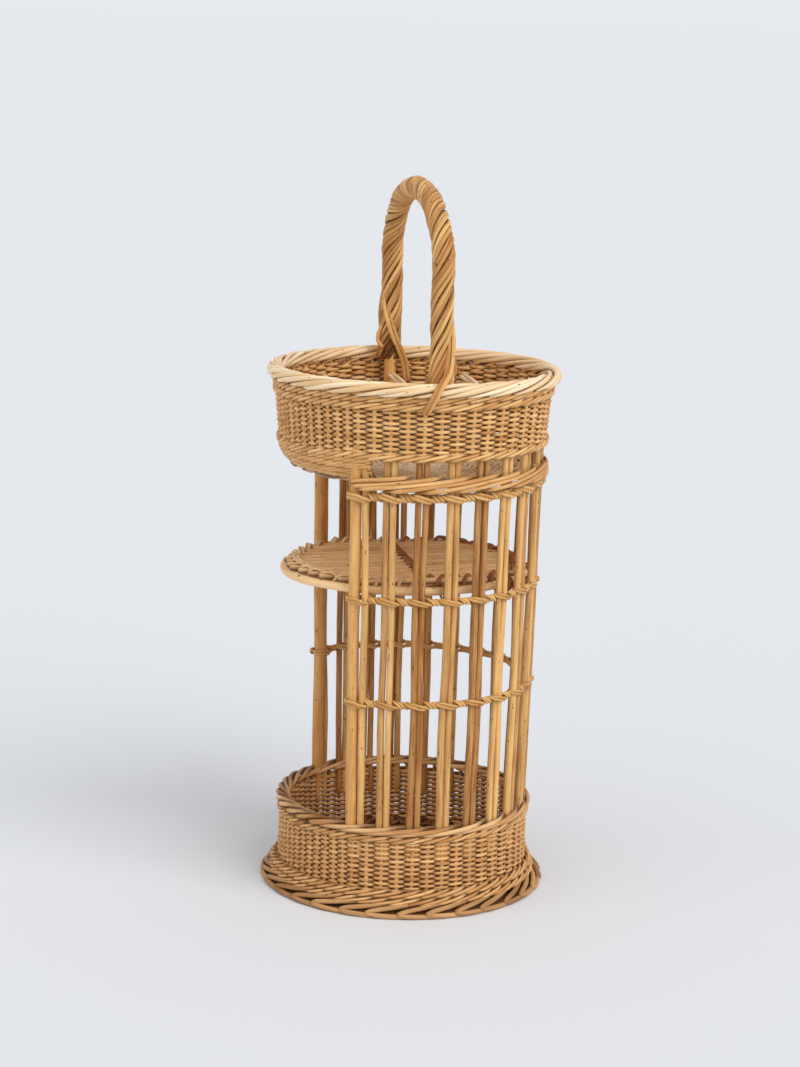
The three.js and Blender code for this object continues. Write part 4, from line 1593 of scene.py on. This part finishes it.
        # Painted shade: the strands darken close to the roll's core, in the grooves between them.
        depth = CoreDepth(core, *self.border_shade)
        name = "upper_border_strands"
        bundle = Bundle(name, LIT_BORDER_WILLOW, Slot.BORDER, ["upper_border"], Roundness.EIGHT, 56, depth)
        swell = [min(1.0, 0.55 + 0.09 * step) for step in range(self.border_steps + 1)]
        for strand in range(self.border_strands):
            place = TURN * (strand + bundle.draws.uniform(*self.border_shifts)) / self.border_strands
            size = thick * bundle.draws.uniform(*self.border_sizes)
            tuck = bundle.draws.uniform(*self.border_tucks)
            line: list[Vector] = []
            for share in shares(self.border_steps):
                turn = mix(*self.border_turns, share)
                angle = place + self.border_lay * (turn + tuck) / (TURN * middle)
                lift = mix(*self.border_lift, share)
                out = middle + (half_width + lift) * math.cos(turn)
                line.append(polar(out, angle, height + (half_height + lift) * math.sin(turn)))
            bundle.add(line, size, self.border_tips, swell, self.border_wander)
        # The core strand takes the deepest tone and, lying on the shade line, the full painted shade, so
        # the gaps between strands read as shadow.
        bundle.add(core[::2], self.border_core * half_height, closed=True, tone=0.0)
        bundle.build()

    def _dividers(self) -> None:
        """Twists two pale rods together for each divider."""
        reach = self.divider_radius
        for seed, name in enumerate(("front", "middle", "back"), 57):
            node = f"divider_{name}"
            bundle = Bundle(f"{node}_rods", DIVIDER_CANE, Slot.DIVIDER, [node], Roundness.EIGHT, seed)
            low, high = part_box(node)
            y, z = (low.y + high.y) / 2, (low.z + high.z) / 2
            for rod in (0, 1):
                line: list[Vector] = []
                for share in shares(self.divider_steps):
                    x = mix(low.x, high.x, share)
                    turn = TURN * x / self.divider_lay + math.pi * rod
                    line.append(Vector((x, y + reach * math.cos(turn), z + reach * math.sin(turn))))
                bundle.add(line, self.divider_radius, wander=self.divider_wander)
            bundle.build()


# Rods at the handle's feet: out from the leg or the rim, along the border and above its top, in mm.
OVER_FROM_LEG = ((0, 2, 74), (4, 5, 54), (8.5, 6, 36), (10.5, 4.5, 20))
OVER_FROM_RIM = ((-1.5, -4, 3), (1.8, -9, -5), (1.2, -14, -15), (-3, -18, -24), (-9, -20, -30))
INSIDE_FROM_LEG = (
    (0, 2, 70), (-5, 5, 48), (-9.5, 2, 30), (-10, -4, 12),
    (-8, -10, 0), (-4, -16, -12), (-1, -19, -24), (3, -21, -36),
)
LOOP_FROM_LEG = ((0, 3, 32), (-2, 10, 24), (-2, 14.5, 15), (-2, 14.5, 7), (-3, 10.5, 2), (-3, 5, 0))


@dataclass
class Handle:
    """The hoop handle: a bent core, and rods roped round it that part at the feet."""

    core_radius: float = 6.5 * MM
    core_tips: Span = (0.7, 0.7)
    core_steps: int = 80
    rope_radius: float = 2.4 * MM
    rope_sizes: Span = (0.94, 1.05)
    rope_out: float = 9.0 * MM
    rope_outs: Span = (0.94, 1.06)
    rope_shifts: Span = (-0.02, 0.02)
    rope_tips: Span = (0.5, 0.5)
    rope_shade: Span = (8.8 * MM, 11.2 * MM)
    rope_wander: float = 0.4 * MM
    strands: int = 11
    lay: float = 118 * MM
    crown_lay: float = 84 * MM
    crown_ease: float = 40 * MM
    shoulder: float = 650 * MM
    parting: float = 34 * MM
    tuck: float = 12 * MM
    foot_spread: float = 0.18
    foot_out: float = 5 * MM
    steps: int = 150
    arch_steps: int = 200
    crossing_slimness: float = 0.9
    crossing_tips: Span = (0.6, 0.6)
    crossing_wander: float = 0.3 * MM
    crossing_rim: float = 0.72
    leg: float = field(init=False)
    foot: float = field(init=False)
    crown: float = field(init=False)
    rim: Vector = field(init=False)

    def __post_init__(self) -> None:
        """Takes the span and the heights from the frame."""
        low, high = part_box("handle_core")
        self.leg = high.x - self.core_radius
        self.foot = low.z
        self.crown = high.z - self.core_radius
        self.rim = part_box("upper_border")[1]

    def route(self, bottom: float, steps: int) -> list[Vector]:
        """The middle line of the hoop, from one foot over the top to the other.

        Args:
            bottom: Height of both feet.
            steps: Number of stretches.

        Returns:
            Points at even spacing.
        """
        rise = self.crown - self.shoulder
        fine = [Vector((-self.leg, 0, bottom))]
        for share in shares(self.arch_steps):
            turn = math.pi * (1 - share)
            fine.append(Vector((self.leg * math.cos(turn), 0, self.shoulder + rise * math.sin(turn))))
        fine.append(Vector((self.leg, 0, bottom)))
        line = np.array(fine)
        along = np.concatenate(([0.0], np.cumsum(np.linalg.norm(np.diff(line, axis=0), axis=1))))
        spots = np.linspace(0, along[-1], steps + 1)
        return [Vector([float(np.interp(s, along, line[:, axis])) for axis in range(3)]) for s in spots]

    def build(self) -> None:
        """Builds the core and the roping."""
        core = Bundle("handle_core_rod", POST_CANE, Slot.ROPING, ["handle_core"], Roundness.TWELVE, 71)
        core.add(self.route(self.foot, self.core_steps), self.core_radius, self.core_tips)
        core.build()
        # Painted shade: the roping's strands darken towards the core, in the grooves between them.
        depth = CoreDepth(self.route(self.foot, self.arch_steps), *self.rope_shade)
        name = "handle_roping_strands"
        roping = Bundle(name, ROPING_WILLOW, Slot.ROPING, ["handle_roping"], Roundness.EIGHT, 72, depth)
        for strand in range(self.strands):
            self._rope(roping, strand)
        for end in (-1, 1):
            self._crossing(roping, end)
        roping.build()

    def _rope(self, bundle: Bundle, strand: int) -> None:
        """Winds one rod round the core, with its two ends parted and pushed down inside the border.

        Args:
            bundle: Where the strand goes.
            strand: Number of the rod.
        """
        parting = self.rim.z + self.parting
        bottom = self.rim.z - self.tuck
        route = self.route(bottom, self.steps)
        turns = 0.0
        line: list[Vector] = []
        shift = bundle.draws.uniform(*self.rope_shifts)
        reach = self.rope_out * bundle.draws.uniform(*self.rope_outs)
        for number, point in enumerate(route):
            closeness = smooth((point.z - self.shoulder + self.crown_ease) / self.crown_ease)
            stretch = (point - route[max(number - 1, 0)]).length
            turns += stretch / mix(self.lay, self.crown_lay, closeness)
            along = heading(route, number).normalized()
            outward = along.cross(Vector((0, 1, 0)))
            sideways = along.cross(outward)
            turn = TURN * (strand / self.strands + turns + shift)
            apart = smooth((parting - point.z) / (parting - bottom))
            ring = reach * (1 + self.foot_spread * apart)
            offset = outward * ring * math.cos(turn) + sideways * ring * math.sin(turn)
            aside = math.copysign(1.0, point.x) * self.foot_out * apart
            line.append(point + offset + Vector((aside, 0, 0)))
        size = self.rope_radius * bundle.draws.uniform(*self.rope_sizes)
        bundle.add(line, size, self.rope_tips, wander=self.rope_wander)

    def _crossing(self, bundle: Bundle, end: int) -> None:
        """Takes rods over the border at a foot, across inside it, and round in a small loop beside it.

        Args:
            bundle: Where the strands go.
            end: -1 or 1 for the foot at -X or +X.
        """
        leg, rim = self.leg, self.rim.x
        over = [(leg + x * MM, y, z) for x, y, z in OVER_FROM_LEG]
        over.append((mix(leg, rim, self.crossing_rim), 1, 8))
        over.extend((rim + x * MM, y, z) for x, y, z in OVER_FROM_RIM)
        inside = [(leg + x * MM, y, z) for x, y, z in INSIDE_FROM_LEG]
        loop = [(leg + x * MM, y, z) for x, y, z in LOOP_FROM_LEG]
        radius = self.crossing_slimness * self.rope_radius
        for route, besides in ((over, (0.0, 4.4)), (inside, (0.0, 4.2)), (loop, (0.0,))):
            for beside in besides:
                line: list[Vector] = []
                for x, y, z in route:
                    line.append(Vector((end * x, end * (y + beside) * MM, self.rim.z + z * MM)))
                bundle.add(eased(line), radius, self.crossing_tips, wander=self.crossing_wander)


@dataclass(frozen=True)
class Lamp:
    """A distant soft lamp, so many degrees to the camera's right, above the floor and wide."""

    name: str
    aside: float
    elevation: float
    strength: float
    softness: float
    distance: float = 3

    def hang(self, azimuth: float) -> None:
        """Adds the lamp to the scene.

        Args:
            azimuth: Direction of the camera.
        """
        data = bpy.data.lights.new(self.name, "SUN")
        data.energy = self.strength
        data.angle = math.radians(self.softness)
        lamp = bpy.data.objects.new(self.name, data)
        turn, rise = azimuth + math.radians(self.aside), math.radians(self.elevation)
        level = math.cos(rise)
        source = Vector((math.sin(turn) * level, -math.cos(turn) * level, math.sin(rise)))
        lamp.location = source * self.distance
        lamp.rotation_euler = (-source).to_track_quat("-Z", "Y").to_euler()
        bpy.context.scene.collection.objects.link(lamp)


@dataclass
class Studio:
    """Plain pale floor, soft light and the camera."""

    lens: float = 116.1
    sensor: float = 36
    azimuth: float = math.radians(78)
    distance: float = 2.6
    height: float = 0.899
    target_height: float = 0.3653
    aside: float = 10 * MM
    roll: float = math.radians(1.5)
    floor_reach: float = 150
    floor_colour: Display = (228, 230, 233)
    floor_roughness: float = 0.9
    room_colour: Display = (244, 246, 250)
    room_strength: float = 0.62
    wall_colour: Display = (231, 234, 239)
    lamps: tuple[Lamp, ...] = (Lamp("key", 44, 42, 1.65, 45), Lamp("fill", -50, 32, 0.5, 70))

    def build(self) -> None:
        """Sets up the floor, the light and the camera."""
        scene = bpy.context.scene
        scene.view_settings.view_transform = "Standard"
        self._floor()
        self._light(scene)
        self._camera(scene)

    def _floor(self) -> None:
        """Lays a wide pale floor."""
        sheet = bmesh.new()
        bmesh.ops.create_grid(sheet, x_segments=1, y_segments=1, size=self.floor_reach)
        mesh = bpy.data.meshes.new("floor")
        sheet.to_mesh(mesh)
        sheet.free()
        material = bpy.data.materials.new("pale_floor")
        material.use_nodes = True
        surface = {"Base Color": linear(self.floor_colour), "Roughness": self.floor_roughness}
        NodeSet(material.node_tree).feed(material.node_tree.nodes["Principled BSDF"], surface)
        mesh.materials.append(material)
        floor = bpy.data.objects.new("floor", mesh)
        bpy.context.scene.collection.objects.link(floor)

    def _light(self, scene: bpy.types.Scene) -> None:
        """Lights the room softly from above and both sides of the camera, with a pale wall far away.

        Args:
            scene: Scene that takes the light.
        """
        world = bpy.data.worlds.new("room")
        world.use_nodes = True
        nodes = NodeSet(world.node_tree)
        room = world.node_tree.nodes["Background"]
        nodes.feed(room, {"Color": linear(self.room_colour), "Strength": self.room_strength})
        wall = nodes.add("Background", "Background", {"Color": linear(self.wall_colour), "Strength": 1.0})
        rays = world.node_tree.nodes.new("ShaderNodeLightPath").outputs
        seen = rays["Is Camera Ray"]
        for kind in ("Is Glossy Ray", "Is Transmission Ray"):
            seen = nodes.add("Math", "Value", {0: seen, 1: rays[kind]}, operation="MAXIMUM")
        choice = nodes.add("MixShader", "Shader", {0: seen, 1: room.outputs["Background"], 2: wall})
        nodes.feed(world.node_tree.nodes["World Output"], {"Surface": choice})
        scene.world = world
        for lamp in self.lamps:
            lamp.hang(self.azimuth)

    def _camera(self, scene: bpy.types.Scene) -> None:
        """Puts the camera at the photograph's angle.

        Args:
            scene: Scene that takes it.
        """
        data = bpy.data.cameras.new("camera")
        data.sensor_fit = "HORIZONTAL"
        data.sensor_width = self.sensor
        data.lens = self.lens
        camera = bpy.data.objects.new("camera", data)
        flat = Vector((math.sin(self.azimuth), -math.cos(self.azimuth), 0))
        camera.location = flat * self.distance + UP * self.height
        aim = UP * self.target_height + UP.cross(-flat) * self.aside
        level = (aim - camera.location).to_track_quat("-Z", "Y")
        camera.rotation_euler = (level @ Quaternion(UP, self.roll)).to_euler()
        scene.collection.objects.link(camera)
        scene.camera = camera


def main() -> None:
    """Builds the studio and the holder, from the floor up."""
    logging.basicConfig(level=logging.INFO, format="%(message)s")
    noise.seed_set(WANDER_SEED)
    thick_band = {"strand_radius": 1.8 * MM, "rod_reach": 5.6 * MM, "post_reach": 8.0 * MM}
    assemblies = (
        Studio(),
        LowerBasket(),
        Cage(),
        TwinedBand("twined_band_lower", 31),
        TwinedBand("twined_band_shelf", 32),
        TwinedBand("twined_band_upper", 33, **thick_band),
        Shelf(),
        UpperBasket(),
        Handle(),
    )
    for assembly in assemblies:
        assembly.build()
    bpy.context.view_layer.update()


if __name__ == "__main__":
    main()
